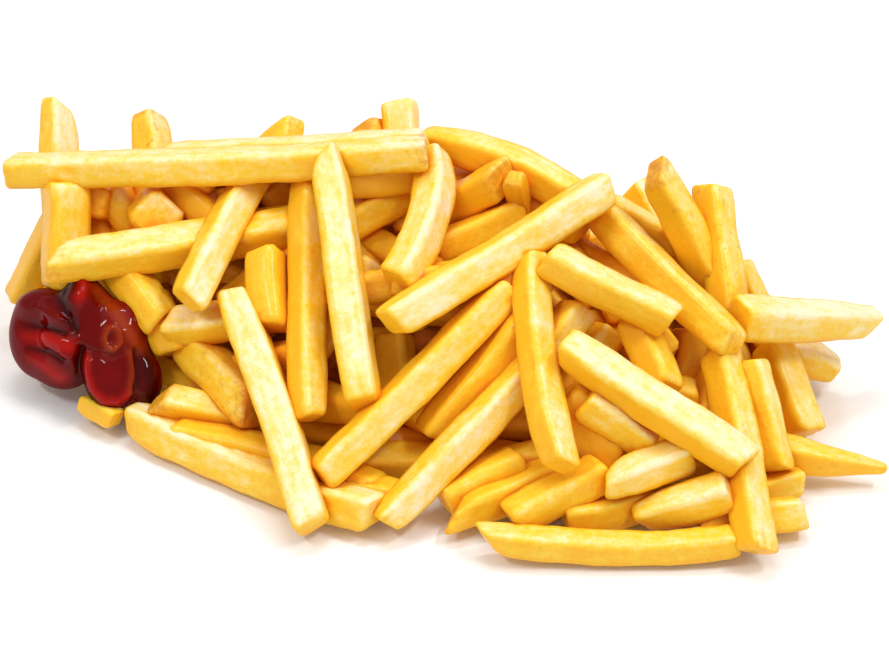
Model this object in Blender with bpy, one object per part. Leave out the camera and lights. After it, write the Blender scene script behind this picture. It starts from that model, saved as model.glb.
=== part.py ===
"""A heap of French fries with a dollop of ketchup at its left end.

Metres, +Z up, the flat underside of the heap at z = 0, the long side along X and the front
towards -Y. The heap is one solid: a low core with every fry that shows fused on, and more
fries over its back, laid by a rule. The ketchup is a second solid that sits on the core.

A fry that shows is given by its two ends as they appear in the photograph. Each end then lies
somewhere on its line of sight, and the fries are settled along these lines until none passes
through another and none is under the floor.
"""

import math
import random
from typing import NamedTuple

import bmesh
import bpy
from mathutils import Vector
from mathutils.bvhtree import BVHTree

MM = 0.001

# The view of the photograph, in millimetres and pixels.
PHOTO_CENTRE_PX = (444.5, 333.5)
PX_PER_MM = 4.0
VIEW_RISE = math.radians(35.0)
VIEW_DISTANCE = 650.0
VIEW_TARGET = Vector((-1.0, 2.0, 24.0))
TO_EYE = Vector((0.0, -math.cos(VIEW_RISE), math.sin(VIEW_RISE)))
VIEW_UP = Vector((0.0, math.sin(VIEW_RISE), math.cos(VIEW_RISE)))
VIEW_RIGHT = Vector((1.0, 0.0, 0.0))
EYE = VIEW_TARGET + TO_EYE * VIEW_DISTANCE
FOCAL_PX = PX_PER_MM * VIEW_DISTANCE

# Fries, in millimetres.
FLOOR_CLEARANCE = 0.74
CONTACT = 0.87
END_CHAMFER = 1.3
END_SHRINK = 0.8
DEEPEST_SINK = 25.0
TOP_SINK = 2.0
UNDER_SHARE = 0.62
SETTLE_ROUNDS = 60
LOOSE_REACH = 30.0
FACING = 0.6
END_MARGIN = 0.42
SURE_CONTACT = 0.93
GATHER_STEP = 0.6
GATHER_ROUNDS = 60

# Fries of the back and the ends, laid by rule.
BACK_COUNT = 300
BACK_SEED = 5
BACK_LENGTH = (36.0, 62.0)
BACK_WIDTH = (7.4, 8.6)
BACK_SINK = (7.0, -2.0)
BACK_OVERHANG = 9.0
BACK_CLASH = 3.4
BACK_TRIES = 40

# Core, in millimetres.
CORE_REACH = 103.0
CORE_INSET = 11.0
CREST_INSET_SHARE = 0.7
BACK_INSET_SHARE = 0.6
CORE_SIDES = 14
CORE_RINGS = 13

# Ketchup, in millimetres.
KETCHUP_GAP = 0.3
LOBE_SIDES = 14
LOBE_RINGS = 9

# The heap's box is centred on the origin by this shift.
CENTRE_SHIFT = Vector((3.9, -2.1, 0.0))


class Station(NamedTuple):
    """The heap's middle layer at one place along its length."""

    x: float
    front: float
    ridge: float
    back: float
    crest: float


SKIN = (
    Station(-112.0, 18.0, 28.0, 36.0, 14.0),
    Station(-100.0, 11.0, 28.0, 42.0, 31.0),
    Station(-80.0, 2.0, 28.0, 50.0, 46.0),
    Station(-39.0, -30.0, 24.0, 56.0, 54.0),
    Station(0.0, -40.0, 20.0, 56.0, 55.0),
    Station(39.0, -52.0, 12.0, 50.0, 50.0),
    Station(73.0, -50.0, 0.0, 36.0, 39.0),
    Station(89.0, -42.0, -8.0, 20.0, 23.0),
    Station(112.0, -28.0, -14.0, -2.0, 6.0),
)

# The heap's upper outline as the photograph shows it, left to right.
OUTLINE_PX = (
    (0, 190), (30, 165), (300, 150), (430, 150), (560, 215), (620, 225),
    (700, 225), (745, 320), (850, 345), (889, 470),
)
OUTLINE_MARGIN_PX = 14.0


class Fry(NamedTuple):
    """One fry: its ends in the photograph and its own shape.

    Attributes:
        name: What it is called.
        start_px: One end, in pixels.
        end_px: The other end, in pixels.
        width: Side of its square section, mm.
        turn: How far the section is turned about the fry's length, degrees.
        bow: How far its middle bends up, mm.
        tip: Width of the far end as a share of the near one.
        stand: Least height of each end, mm.
        steepest: Greatest slope against the picture plane.
    """

    name: str
    start_px: tuple
    end_px: tuple
    width: float
    turn: float = 30.0
    bow: float = 0.0
    tip: float = 1.0
    stand: tuple = (0.0, 0.0)
    steepest: float = 0.5


# Every fry that shows, undermost first.
SEEN = (
    Fry("deep_left", (128, 290), (165, 345), 8.0),
    Fry("deep_left_high", (150, 268), (215, 300), 8.0),
    Fry("deep_mid", (205, 262), (300, 300), 8.0),
    Fry("deep_mid_rise", (225, 310), (300, 250), 8.0),
    Fry("deep_mid_low", (240, 345), (290, 290), 8.0),
    Fry("deep_centre", (350, 340), (430, 330), 8.0),
    Fry("deep_centre_low", (395, 335), (400, 400), 8.0),
    Fry("deep_right", (575, 320), (640, 345), 8.0),
    Fry("deep_right_slant", (610, 330), (560, 400), 8.0),
    Fry("deep_right_far", (690, 330), (680, 410), 8.0),
    Fry("deep_right_high", (560, 250), (600, 300), 8.0),
    Fry("deep_right_flat", (640, 390), (700, 400), 8.0),
    Fry("floor_right", (640, 485), (720, 462), 8.0),
    Fry("floor_mid", (565, 520), (650, 500), 8.0),
    Fry("floor_left", (345, 490), (400, 500), 8.0),
    Fry("floor_far", (690, 440), (640, 470), 8.0),
    Fry("prop_left", (44, 300), (150, 285), 8.0, stand=(12.0, 20.0)),
    Fry("upright_left", (57, 104), (66, 285), 8.4, 35.0, stand=(54.0, 16.0)),
    Fry("lean_left", (68, 205), (20, 300), 8.0, 25.0, stand=(34.0, 6.0)),
    Fry("stub_left", (149, 116), (162, 262), 8.4, 40.0, stand=(54.0, 30.0)),
    Fry("cross_left", (104, 195), (162, 252), 7.6),
    Fry("stub_olive", (296, 128), (218, 205), 8.0, 40.0, stand=(58.0, 36.0)),
    Fry("stub_brown", (366, 124), (404, 225), 8.0, 20.0, stand=(59.0, 42.0)),
    Fry("stub_pale", (399, 102), (412, 230), 8.6, 10.0, stand=(63.0, 40.0)),
    Fry("spot_left", (262, 205), (308, 182), 8.0, 20.0),
    Fry("spot_right", (348, 226), (412, 188), 8.0, 20.0),
    Fry("gap_top", (350, 180), (420, 175), 8.0, 20.0),
    Fry("top_arch", (424, 140), (582, 205), 8.2, 30.0, 2.5, stand=(59.0, 53.0)),
    Fry("brown_tip", (436, 212), (503, 178), 8.4, 15.0),
    Fry("upright_mid", (514, 178), (528, 240), 7.0),
    Fry("streak", (436, 250), (520, 212), 8.0, 15.0),
    Fry("behind_left", (634, 186), (696, 306), 7.5, stand=(46.0, 24.0)),
    Fry("behind_flat", (610, 212), (700, 256), 8.2, 15.0, stand=(42.0, 34.0)),
    Fry("speckled", (684, 212), (712, 312), 8.0, stand=(44.0, 24.0)),
    Fry("behind_right", (737, 262), (772, 346), 6.5, stand=(30.0, 10.0)),
    Fry("dark_tip", (654, 170), (728, 308), 8.0, 40.0, stand=(52.0, 26.0)),
    Fry("stub_tall", (712, 186), (730, 330), 8.0, 35.0, stand=(50.0, 22.0)),
    Fry("right_low", (770, 345), (836, 370), 8.2),
    Fry("right_wing", (738, 318), (872, 322), 9.4, 30.0, tip=0.7, stand=(22.0, 14.0), steepest=0.1),
    Fry("right_tip", (752, 448), (886, 469), 7.8, tip=0.3),
    Fry("right_small", (755, 492), (800, 480), 6.5),
    Fry("right_stub", (700, 522), (802, 512), 7.8, 10.0),
    Fry("right_steep", (770, 345), (806, 434), 7.6, 45.0),
    Fry("right_thin", (750, 360), (778, 470), 7.4, 20.0),
    Fry("left_under", (84, 402), (116, 420), 8.0),
    Fry("left_base", (132, 417), (375, 512), 8.2, 30.0, -2.0),
    Fry("dip_mid", (345, 462), (480, 462), 8.2, 50.0),
    Fry("left_low", (158, 400), (282, 430), 7.6, 50.0),
    Fry("left_wide", (186, 343), (256, 410), 8.8),
    Fry("left_fan", (172, 328), (245, 318), 8.2, 45.0),
    Fry("mid_left", (52, 264), (300, 226), 8.0, 45.0, steepest=0.1),
    Fry("steep_pale", (260, 170), (188, 302), 8.0, 20.0, 1.0),
    Fry("mid_lower", (470, 476), (562, 452), 8.0),
    Fry("low_brown", (452, 518), (560, 470), 8.0),
    Fry("low_mid", (512, 520), (605, 470), 8.2, 35.0),
    Fry("wedge", (560, 398), (622, 448), 9.6, 20.0),
    Fry("end_high", (585, 400), (655, 448), 8.4),
    Fry("end_mid", (606, 486), (690, 452), 8.0, 40.0),
    Fry("end_low", (640, 518), (730, 490), 8.4, 40.0),
    Fry("gold_mid", (636, 318), (664, 392), 8.0),
    Fry("between", (432, 436), (530, 315), 9.0),
    Fry("front_base", (484, 536), (738, 540), 7.6, 40.0, -2.5, steepest=0.1),
    Fry("pale_long", (384, 522), (580, 308), 7.8, 30.0, -1.0),
    Fry("vert_left", (309, 175), (309, 418), 7.8, 40.0, 0.8),
    Fry("curved", (432, 150), (397, 282), 8.6, 50.0, -2.0),
    Fry("long_top", (10, 171), (427, 152), 8.0, 20.0, -1.0, steepest=0.1),
    Fry("vert_mid", (326, 148), (364, 404), 8.2, 15.0),
    Fry("diag_low", (508, 290), (320, 478), 7.8, 20.0),
    Fry("steep_left", (234, 294), (312, 526), 8.2, 10.0, 0.5),
    Fry("vert_right", (532, 255), (562, 466), 8.0, 45.0, 1.2),
    Fry("right_pale", (546, 258), (672, 322), 8.0),
    Fry("long_right", (720, 352), (758, 552), 8.2, 40.0),
    Fry("diag_right", (598, 212), (734, 346), 8.6, 15.0),
    Fry("diag_top", (390, 323), (608, 187), 8.2, 15.0),
    Fry("diag_pale", (565, 346), (746, 464), 8.8, 55.0),
)


class Lobe(NamedTuple):
    """One rounded lump of the ketchup, placed by where it shows.

    Attributes:
        centre_px: Its middle in the photograph, in pixels.
        across: Half its width in the picture, mm.
        thick: Half its depth along the line of sight, mm.
        tall: Half its height in the picture, mm.
        proud: How far its middle stands before the heap's middle layer, mm.
    """

    centre_px: tuple
    across: float
    thick: float
    tall: float
    proud: float


LOBES = (
    Lobe((42, 336), 8.8, 8.0, 11.0, 3.0),
    Lobe((74, 300), 8.6, 7.0, 6.6, 4.0),
    Lobe((50, 306), 8.4, 7.0, 6.0, 3.0),
    Lobe((84, 334), 12.5, 9.0, 12.5, 4.0),
    Lobe((109, 371), 6.6, 6.5, 8.8, 7.0),
    Lobe((124, 350), 7.4, 7.0, 12.0, 2.0),
)


class Rod:
    """A fry's straight axis, whose ends slide along one line each."""

    def __init__(self, fry, ends, ways):
        self.fry = fry
        self.ends = ends
        self.ways = ways

    def at(self, share):
        """The point at a share of the length."""
        return self.ends[0].lerp(self.ends[1], share)

    def margin(self):
        """The share at each end that the rounded end of a contact rod leaves out."""
        return END_MARGIN * self.fry.width / (self.ends[1] - self.ends[0]).length

    def way(self):
        """The mean direction in which the rod slides outwards."""
        return (self.ways[0] + self.ways[1]).normalized()

    def push(self, share, move):
        """Slides the rod so that the point at a share of its length moves outwards."""
        near, far = 1.0 - share, share
        scale = move / (near * near + far * far)
        self.ends[0] = self.ends[0] + self.ways[0] * (scale * near)
        self.ends[1] = self.ends[1] + self.ways[1] * (scale * far)

    def lift_off_floor(self):
        """Slides an end that is too low outwards until it stands high enough."""
        for k in (0, 1):
            least = max(self.fry.width * FLOOR_CLEARANCE, self.fry.stand[k])
            short = least - self.ends[k].z
            if short > 0.0 and self.ways[k].z > 0.2:
                self.ends[k] = self.ends[k] + self.ways[k] * (short / self.ways[k].z)


def sight(px):
    """The direction from the eye through a pixel."""
    right = (px[0] - PHOTO_CENTRE_PX[0]) / FOCAL_PX
    down = (px[1] - PHOTO_CENTRE_PX[1]) / FOCAL_PX
    return (VIEW_RIGHT * right - VIEW_UP * down - TO_EYE).normalized()


def pixel_of(point):
    """The pixel at which a point shows."""
    offset = point - EYE
    depth = -offset.dot(TO_EYE)
    return (
        PHOTO_CENTRE_PX[0] + FOCAL_PX * offset.dot(VIEW_RIGHT) / depth,
        PHOTO_CENTRE_PX[1] - FOCAL_PX * offset.dot(VIEW_UP) / depth,
    )


def station_at(x):
    """The middle layer's section at a place along the heap."""
    x = min(max(x, SKIN[0].x), SKIN[-1].x)
    for left, right in zip(SKIN, SKIN[1:]):
        if x <= right.x:
            break
    f = (x - left.x) / (right.x - left.x)
    return Station(*(a + (b - a) * f for a, b in zip(left, right)))


def outside(point):
    """About how far a point is outside the middle layer, mm."""
    here = station_at(point.x)
    half = here.back - here.ridge if point.y > here.ridge else here.ridge - here.front
    share = math.hypot((point.y - here.ridge) / half, point.z / here.crest)
    return (share - 1.0) * min(half, here.crest) + max(abs(point.x) - 110.0, 0.0)


def outward(point):
    """The direction in which the distance outside grows fastest."""
    step = 0.5
    axes = (Vector((step, 0, 0)), Vector((0, step, 0)), Vector((0, 0, step)))
    return Vector([outside(point + a) - outside(point - a) for a in axes]).normalized()


def layer_distance(direction):
    """How far the middle layer is along a line of sight, or where the line passes nearest."""
    nearest = (1.0e9, 0.0)
    reach = VIEW_DISTANCE - 110.0
    while reach < VIEW_DISTANCE + 110.0:
        point = EYE + direction * reach
        if point.z < 0.0:
            break
        over = outside(point)
        if over < 0.0:
            return reach
        nearest = min(nearest, (over, reach))
        reach += 1.5
    return nearest[1]


def first_lay(fry, sink):
    """Lays a fry's axis along the middle layer, sunk by a depth."""
    count = 8
    shares = [i / count for i in range(count + 1)]
    reaches = []
    for share in shares:
        px = tuple(a + (b - a) * share for a, b in zip(fry.start_px, fry.end_px))
        reaches.append(layer_distance(sight(px)))
    mean = sum(reaches) / len(reaches)
    spread = sum((s - 0.5) ** 2 for s in shares)
    slope = sum((s - 0.5) * (r - mean) for s, r in zip(shares, reaches)) / spread
    span = math.dist(fry.start_px, fry.end_px) / PX_PER_MM
    slope = min(max(slope, -fry.steepest * span), fry.steepest * span)
    lines = (sight(fry.start_px), sight(fry.end_px))
    ends = [EYE + lines[0] * (mean + sink - slope / 2), EYE + lines[1] * (mean + sink + slope / 2)]
    return Rod(fry, ends, [-lines[0], -lines[1]])


def flat(vector, along):
    """A vector without its part along a direction."""
    return vector - along * vector.dot(along)


def nearest_shares(low, high, along):
    """Where two axes pass nearest as seen along a direction, and how far apart."""
    m, n = low.margin(), high.margin()
    start, other = low.at(m), high.at(n)
    a, b = flat(low.at(1.0 - m) - start, along), flat(high.at(1.0 - n) - other, along)
    r = flat(start - other, along)
    aa, ab, bb, ar, br = a.dot(a), a.dot(b), b.dot(b), a.dot(r), b.dot(r)
    cross = aa * bb - ab * ab
    s = min(max((ab * br - bb * ar) / cross, 0.0), 1.0) if cross > 1e-6 * aa * bb else 0.5
    t = min(max((ab * s + br) / bb, 0.0), 1.0)
    s = min(max((ab * t - ar) / aa, 0.0), 1.0)
    gap = (r + a * s - b * t).length
    return m + s * (1.0 - 2.0 * m), n + t * (1.0 - 2.0 * n), gap


def share_near(point, rod, along):
    """The share of an axis that is nearest to a point as seen, and how far apart."""
    m = rod.margin()
    start = rod.at(m)
    axis = flat(rod.at(1.0 - m) - start, along)
    offset = flat(point - start, along)
    t = min(max(offset.dot(axis) / axis.dot(axis), 0.0), 1.0)
    return m + t * (1.0 - 2.0 * m), (offset - axis * t).length


def part_pair(low, high, loose):
    """Slides two rods apart where they meet."""
    along = (low.way() + high.way()).normalized()
    reach = (low.fry.width + high.fry.width) / 2.0 * CONTACT
    spots = [nearest_shares(low, high, along)]
    m, n = low.margin(), high.margin()
    for s, t in ((m, n), (1.0 - m, 1.0 - n)):
        spots.append((s, *share_near(low.at(s), high, along)))
        far, gap = share_near(high.at(t), low, along)
        spots.append((far, t, gap))
    for s, t, gap in spots:
        if gap >= reach:
            continue
        missing = math.sqrt(reach * reach - gap * gap) - (high.at(t) - low.at(s)).dot(along)
        if missing <= 0.0:
            continue
        low.push(s, -0.7 * missing * (UNDER_SHARE if high in loose else 1.0))
        if high in loose:
            high.push(t, 0.7 * missing * (1.0 - UNDER_SHARE))


def room_below(rod, lower):
    """How far a rod can slide inwards before it meets a lower one or the core."""
    room = None
    for low in lower:
        along = (low.way() + rod.way()).normalized()
        reach = (low.fry.width + rod.fry.width) / 2.0 * CONTACT
        s, t, gap = nearest_shares(low, rod, along)
        if gap < reach:
            have = (rod.at(t) - low.at(s)).dot(along) - math.sqrt(reach * reach - gap * gap)
            room = have if room is None else min(room, have)
    over = min(outside(rod.at(step / 6.0)) for step in range(7)) + CORE_INSET
    over -= rod.fry.width / 2.0 * CONTACT
    if over < (room or LOOSE_REACH) and outward(rod.at(0.5)).dot(rod.way()) > FACING:
        room = over
    return room or 0.0


def settle(rods, above=(), rounds=SETTLE_ROUNDS):
    """Slides the rods until none passes through another; those above stay where they are."""
    order = list(rods) + list(above)
    loose = set(rods)
    pairs = []
    for j, high in enumerate(order):
        for low in order[:j]:
            if low not in loose or low.way().dot(high.way()) < 0.3:
                continue
            if nearest_shares(low, high, (low.way() + high.way()).normalized())[2] < 16.0:
                pairs.append((low, high))
    below = {rod: [low for low, high in pairs if high is rod] for rod in rods}
    for turn in range(rounds):
        for low, high in pairs:
            part_pair(low, high, loose)
        if turn < rounds - 3:
            for rod in rods:
                rod.push(0.5, -0.25 * max(room_below(rod, below[rod]), 0.0))
        for rod in rods:
            rod.lift_off_floor()


def meets_core(rod, core):
    """Whether a rod passes into the core, given as a tree of its faces."""
    for step in range(1, 24):
        point = rod.at(step / 24.0)
        spot, normal, _, distance = core.find_nearest(point)
        if (point - spot).dot(normal) < 0.0 or distance < rod.fry.width * 0.4:
            return True
    return False


def touching(rod, other):
    """Whether two rods overlap."""
    reach = (rod.fry.width + other.fry.width) / 2.0 * SURE_CONTACT
    return nearest_shares(rod, other, Vector((0.0, 0.0, 0.0)))[2] < reach


def gather(rods, core):
    """Slides the rods that hang free inwards until each is held by the heap."""
    for turn in range(GATHER_ROUNDS):
        free = [rod for rod in rods if not meets_core(rod, core)]
        held = [rod for rod in rods if rod not in free]
        while held:
            held = [rod for rod in free if any(touching(rod, other) for other in held)]
            free = [rod for rod in free if rod not in held]
        if not free:
            return
        for rod in free:
            if min(end.z for end in rod.ends) > rod.fry.width:
                rod.push(0.5, -GATHER_STEP)


def lay_seen():
    """Lays every fry that shows."""
    rods = []
    last = len(SEEN) - 1
    for index, fry in enumerate(SEEN):
        sink = DEEPEST_SINK + (TOP_SINK - DEEPEST_SINK) * index / last
        rods.append(first_lay(fry, sink))
    settle(rods)
    return rods


def under_outline(point):
    """Whether a point shows below the heap's upper outline."""
    x, y = pixel_of(point)
    for (x0, y0), (x1, y1) in zip(OUTLINE_PX, OUTLINE_PX[1:]):
        if x0 <= x <= x1:
            return y > y0 + (y1 - y0) * (x - x0) / (x1 - x0) + OUTLINE_MARGIN_PX
    return False


def fits(rod, overhang):
    """Whether both ends keep off the floor, near the heap and below its outline."""
    low = rod.fry.width * FLOOR_CLEARANCE
    return all(p.z >= low and outside(p) < overhang and under_outline(p) for p in rod.ends)


def overlap(rod, other):
    """How deep two rods pass into each other, mm."""
    reach = (rod.fry.width + other.fry.width) / 2.0
    return reach - nearest_shares(rod, other, Vector((0.0, 0.0, 0.0)))[2]


def lay_back(seen):
    """Lays fries over the sides that face away from the view, where each finds room."""
    draw = random.Random(BACK_SEED)
    golden = math.pi * (3.0 - math.sqrt(5.0))
    heart = Vector((0.0, 6.0, 0.0))
    order = list(range(BACK_COUNT))
    draw.shuffle(order)
    rods = []
    for layer, index in enumerate(order):
        rise = 0.02 + 0.96 * (index + 0.5) / BACK_COUNT
        turn = index * golden
        ring = math.sqrt(1.0 - rise * rise)
        spoke = Vector((ring * math.cos(turn) * 100.0, ring * math.sin(turn) * 50.0, rise * 50.0))
        share = 0.05
        while outside(heart + spoke * share) < 0.0 and share < 1.5:
            share += 0.02
        place = heart + spoke * share
        out = outward(place)
        if out.dot((EYE - place).normalized()) > 0.1:
            continue
        level = out.cross(Vector((0.0, 0.0, 1.0))).normalized()
        slope = out.cross(level)
        sink = BACK_SINK[0] + (BACK_SINK[1] - BACK_SINK[0]) * layer / BACK_COUNT
        best = (BACK_CLASH, None)
        for attempt in range(BACK_TRIES):
            angle = draw.uniform(-1.2, 1.2)
            along = level * math.cos(angle) + slope * math.sin(angle)
            length = draw.uniform(*BACK_LENGTH)
            width = draw.uniform(*BACK_WIDTH)
            fry = Fry(f"back_{index}", (0, 0), (0, 0), width, draw.uniform(0.0, 45.0))
            middle = place - out * sink
            if middle.z < width * 1.2:
                middle.z = width * FLOOR_CLEARANCE
                along = Vector((along.x, along.y, 0.0)).normalized()
            ends = [middle - along * length / 2.0, middle + along * length / 2.0]
            rod = Rod(fry, ends, [out, out])
            if fits(rod, BACK_OVERHANG):
                clash = max(overlap(rod, other) for other in seen + rods)
                if clash < best[0]:
                    best = (clash, rod)
        if best[1]:
            rods.append(best[1])
    return rods


def clear_scene():
    """Empties the file."""
    for obj in list(bpy.data.objects):
        bpy.data.objects.remove(obj, do_unlink=True)


def make_material(name, colour, roughness):
    """A plain material for one solid."""
    material = bpy.data.materials.new(name)
    material.use_nodes = True
    shader = material.node_tree.nodes["Principled BSDF"]
    shader.inputs["Base Color"].default_value = (*colour, 1.0)
    shader.inputs["Roughness"].default_value = roughness
    return material


def link_mesh(name, mesh, material, collection):
    """Adds the object of a finished mesh to a collection."""
    mesh.materials.clear()
    mesh.materials.append(material)
    obj = bpy.data.objects.new(name, mesh)
    collection.objects.link(obj)
    return obj


def mesh_from(bm, name):
    """Turns a mesh drawn in millimetres into one in metres."""
    for vert in bm.verts:
        vert.co = (vert.co + CENTRE_SHIFT) * MM
    bm.normal_update()
    bmesh.ops.recalc_face_normals(bm, faces=bm.faces)
    mesh = bpy.data.meshes.new(name)
    bm.to_mesh(mesh)
    bm.free()
    return mesh


def fry_mesh(rod):
    """A four-sided bar with chamfered ends, bent and tapered as its fry is."""
    fry = rod.fry
    length = (rod.ends[1] - rod.ends[0]).length
    axis = (rod.ends[1] - rod.ends[0]).normalized()
    facing = flat(rod.way(), axis).normalized()
    side = axis.cross(facing)
    if side.z < 0.0:
        side = -side
    turn = math.radians(fry.turn)
    first = facing * math.cos(turn) - side * math.sin(turn)
    second = facing * math.sin(turn) + side * math.cos(turn)
    bm = bmesh.new()
    bmesh.ops.create_cube(bm, size=1.0)
    cuts = [END_CHAMFER / length, 1.0 - END_CHAMFER / length]
    if fry.bow:
        cuts += [0.3, 0.5, 0.7]
    elif fry.tip < 1.0:
        cuts += [0.4]
    for cut in cuts:
        geometry = bm.verts[:] + bm.edges[:] + bm.faces[:]
        bmesh.ops.bisect_plane(bm, geom=geometry, plane_co=(cut - 0.5, 0, 0), plane_no=(1, 0, 0))
    for vert in bm.verts:
        share = min(max(vert.co.x + 0.5, 0.0), 1.0)
        width = fry.width * (1.0 + (fry.tip - 1.0) * max(0.0, (share - 0.35) / 0.65))
        if share < 1e-4 or share > 1.0 - 1e-4:
            width *= END_SHRINK
        centre = rod.at(share) + side * (fry.bow * 4.0 * share * (1.0 - share))
        vert.co = centre + first * (vert.co.y * width) + second * (vert.co.z * width)
    return mesh_from(bm, fry.name)


def core_shape(inset):
    """The heap's middle layer drawn in by an inset and cut flat at the floor."""
    bm = bmesh.new()
    bmesh.ops.create_uvsphere(bm, u_segments=CORE_SIDES, v_segments=CORE_RINGS, radius=1.0)
    for vert in bm.verts:
        along, across, rise = vert.co.z, vert.co.x, vert.co.y
        ring = math.hypot(across, rise)
        x = along * (CORE_REACH - inset + CORE_INSET)
        here = station_at(x)
        if ring > 1e-6:
            across, rise = across / ring, rise / ring
        swell = math.sqrt(ring)
        if across > 0.0:
            half = here.back - here.ridge - inset * BACK_INSET_SHARE
        else:
            half = here.ridge - here.front - inset
        y = here.ridge + max(half, 1.0) * across * swell
        vert.co = Vector((x, y, (here.crest - inset * CREST_INSET_SHARE) * rise * swell))
    geometry = bm.verts[:] + bm.edges[:] + bm.faces[:]
    bmesh.ops.bisect_plane(
        bm, geom=geometry, plane_co=(0, 0, 0), plane_no=(0, 0, 1), clear_inner=True
    )
    rim = [edge for edge in bm.edges if edge.is_boundary]
    bmesh.ops.holes_fill(bm, edges=rim)
    bm.normal_update()
    bmesh.ops.recalc_face_normals(bm, faces=bm.faces)
    return bm


def lobe_centre(lobe):
    """Where the middle of a lobe lies."""
    direction = sight(lobe.centre_px)
    return EYE + direction * (layer_distance(direction) - lobe.proud)


def lobe_mesh(lobe):
    """An ellipsoid whose axes are those of the view."""
    bm = bmesh.new()
    bmesh.ops.create_uvsphere(bm, u_segments=LOBE_SIDES, v_segments=LOBE_RINGS, radius=1.0)
    centre = lobe_centre(lobe)
    for vert in bm.verts:
        across, thick, tall = vert.co
        offset = VIEW_RIGHT * (across * lobe.across) + VIEW_UP * (tall * lobe.tall)
        vert.co = centre + offset - TO_EYE * (thick * lobe.thick)
    return mesh_from(bm, "lobe")


def meets_ketchup(rod):
    """Whether a fry would pass into the ketchup."""
    for lobe in LOBES:
        centre = lobe_centre(lobe)
        margin = rod.fry.width * 0.5 + KETCHUP_GAP
        for step in range(13):
            offset = rod.at(step / 12.0) - centre
            across = offset.dot(VIEW_RIGHT) / (lobe.across + margin)
            thick = offset.dot(TO_EYE) / (lobe.thick + margin)
            tall = offset.dot(VIEW_UP) / (lobe.tall + margin)
            if across * across + thick * thick + tall * tall < 1.0:
                return True
    return False


def apply_modifiers(obj):
    """Turns an object and its modifiers into one plain mesh."""
    graph = bpy.context.evaluated_depsgraph_get()
    mesh = bpy.data.meshes.new_from_object(obj.evaluated_get(graph))
    obj.modifiers.clear()
    obj.data = mesh


def join_collection(obj, collection, operation, solver):
    """Joins or cuts an object with all the objects of a collection, which are then removed."""
    modifier = obj.modifiers.new("combine", "BOOLEAN")
    modifier.operand_type = "COLLECTION"
    modifier.collection = collection
    modifier.operation = operation
    modifier.solver = solver
    apply_modifiers(obj)
    for other in list(collection.objects):
        bpy.data.objects.remove(other, do_unlink=True)
    bpy.data.collections.remove(collection)


def keep_largest_body(obj):
    """Removes sealed hollows and loose scraps, then merges points that coincide."""
    bm = bmesh.new()
    bm.from_mesh(obj.data)
    bmesh.ops.remove_doubles(bm, verts=bm.verts, dist=0.00002)
    bmesh.ops.dissolve_degenerate(bm, edges=bm.edges, dist=0.00002)
    unseen = set(bm.faces)
    bodies = []
    while unseen:
        stack = [unseen.pop()]
        body = []
        while stack:
            face = stack.pop()
            body.append(face)
            for edge in face.edges:
                for other in edge.link_faces:
                    if other in unseen:
                        unseen.discard(other)
                        stack.append(other)
        bodies.append(body)
    bodies.sort(key=lambda body: -sum(face.calc_area() for face in body))
    spare = [face for body in bodies[1:] for face in body]
    bmesh.ops.delete(bm, geom=spare, context="FACES")
    bmesh.ops.triangulate(bm, faces=bm.faces)
    bm.to_mesh(obj.data)
    bm.free()


def new_collection(name):
    """A collection of the scene for pieces that are about to be joined."""
    collection = bpy.data.collections.new(name)
    bpy.context.scene.collection.children.link(collection)
    return collection


def main():
    """Builds the heap and its ketchup."""
    clear_scene()
    scene = bpy.context.scene
    scene.unit_settings.system = "METRIC"
    golden = make_material("fried potato", (0.86, 0.52, 0.13), 0.5)
    red = make_material("ketchup", (0.35, 0.01, 0.01), 0.15)

    seen = lay_seen()
    back = lay_back(seen)
    rods = [rod for rod in seen + back if not meets_ketchup(rod)]
    core = core_shape(CORE_INSET)
    gather(rods, BVHTree.FromBMesh(core))

    heap = link_mesh("fries", mesh_from(core, "core"), golden, scene.collection)
    pieces = new_collection("pieces")
    for rod in rods:
        link_mesh(rod.fry.name, fry_mesh(rod), golden, pieces)
    join_collection(heap, pieces, "UNION", "MANIFOLD")
    keep_largest_body(heap)

    ketchup = link_mesh("ketchup", lobe_mesh(LOBES[0]), red, scene.collection)
    lobes = new_collection("lobes")
    for lobe in LOBES[1:]:
        link_mesh("lobe", lobe_mesh(lobe), red, lobes)
    join_collection(ketchup, lobes, "UNION", "MANIFOLD")
    room = new_collection("room")
    link_mesh("grown core", mesh_from(core_shape(CORE_INSET - KETCHUP_GAP), "core"), red, room)
    join_collection(ketchup, room, "DIFFERENCE", "MANIFOLD")
    keep_largest_body(ketchup)


if __name__ == "__main__":
    main()
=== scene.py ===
"""A loose heap of French fries with a dollop of ketchup, dressed over its solid model.

Lengths of the layout are in millimetres, because fries are, and become metres when a mesh is made.
The long side of the heap lies along X, its front towards -Y, and the ketchup at the left end.

Every fry that shows is given by its two ends as they appear in the photograph. Each end lies
somewhere on its line of sight, and the fries are settled along these lines until they lie on each
other. More fries fill the heap below them and cover its back, laid where each finds room.
"""

import logging
import math
import random
from dataclasses import dataclass
from enum import Enum
from typing import Any, Iterable, NamedTuple, Sequence

import bmesh
import bpy
from mathutils import Matrix, Vector
from mathutils.bvhtree import BVHTree


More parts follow.
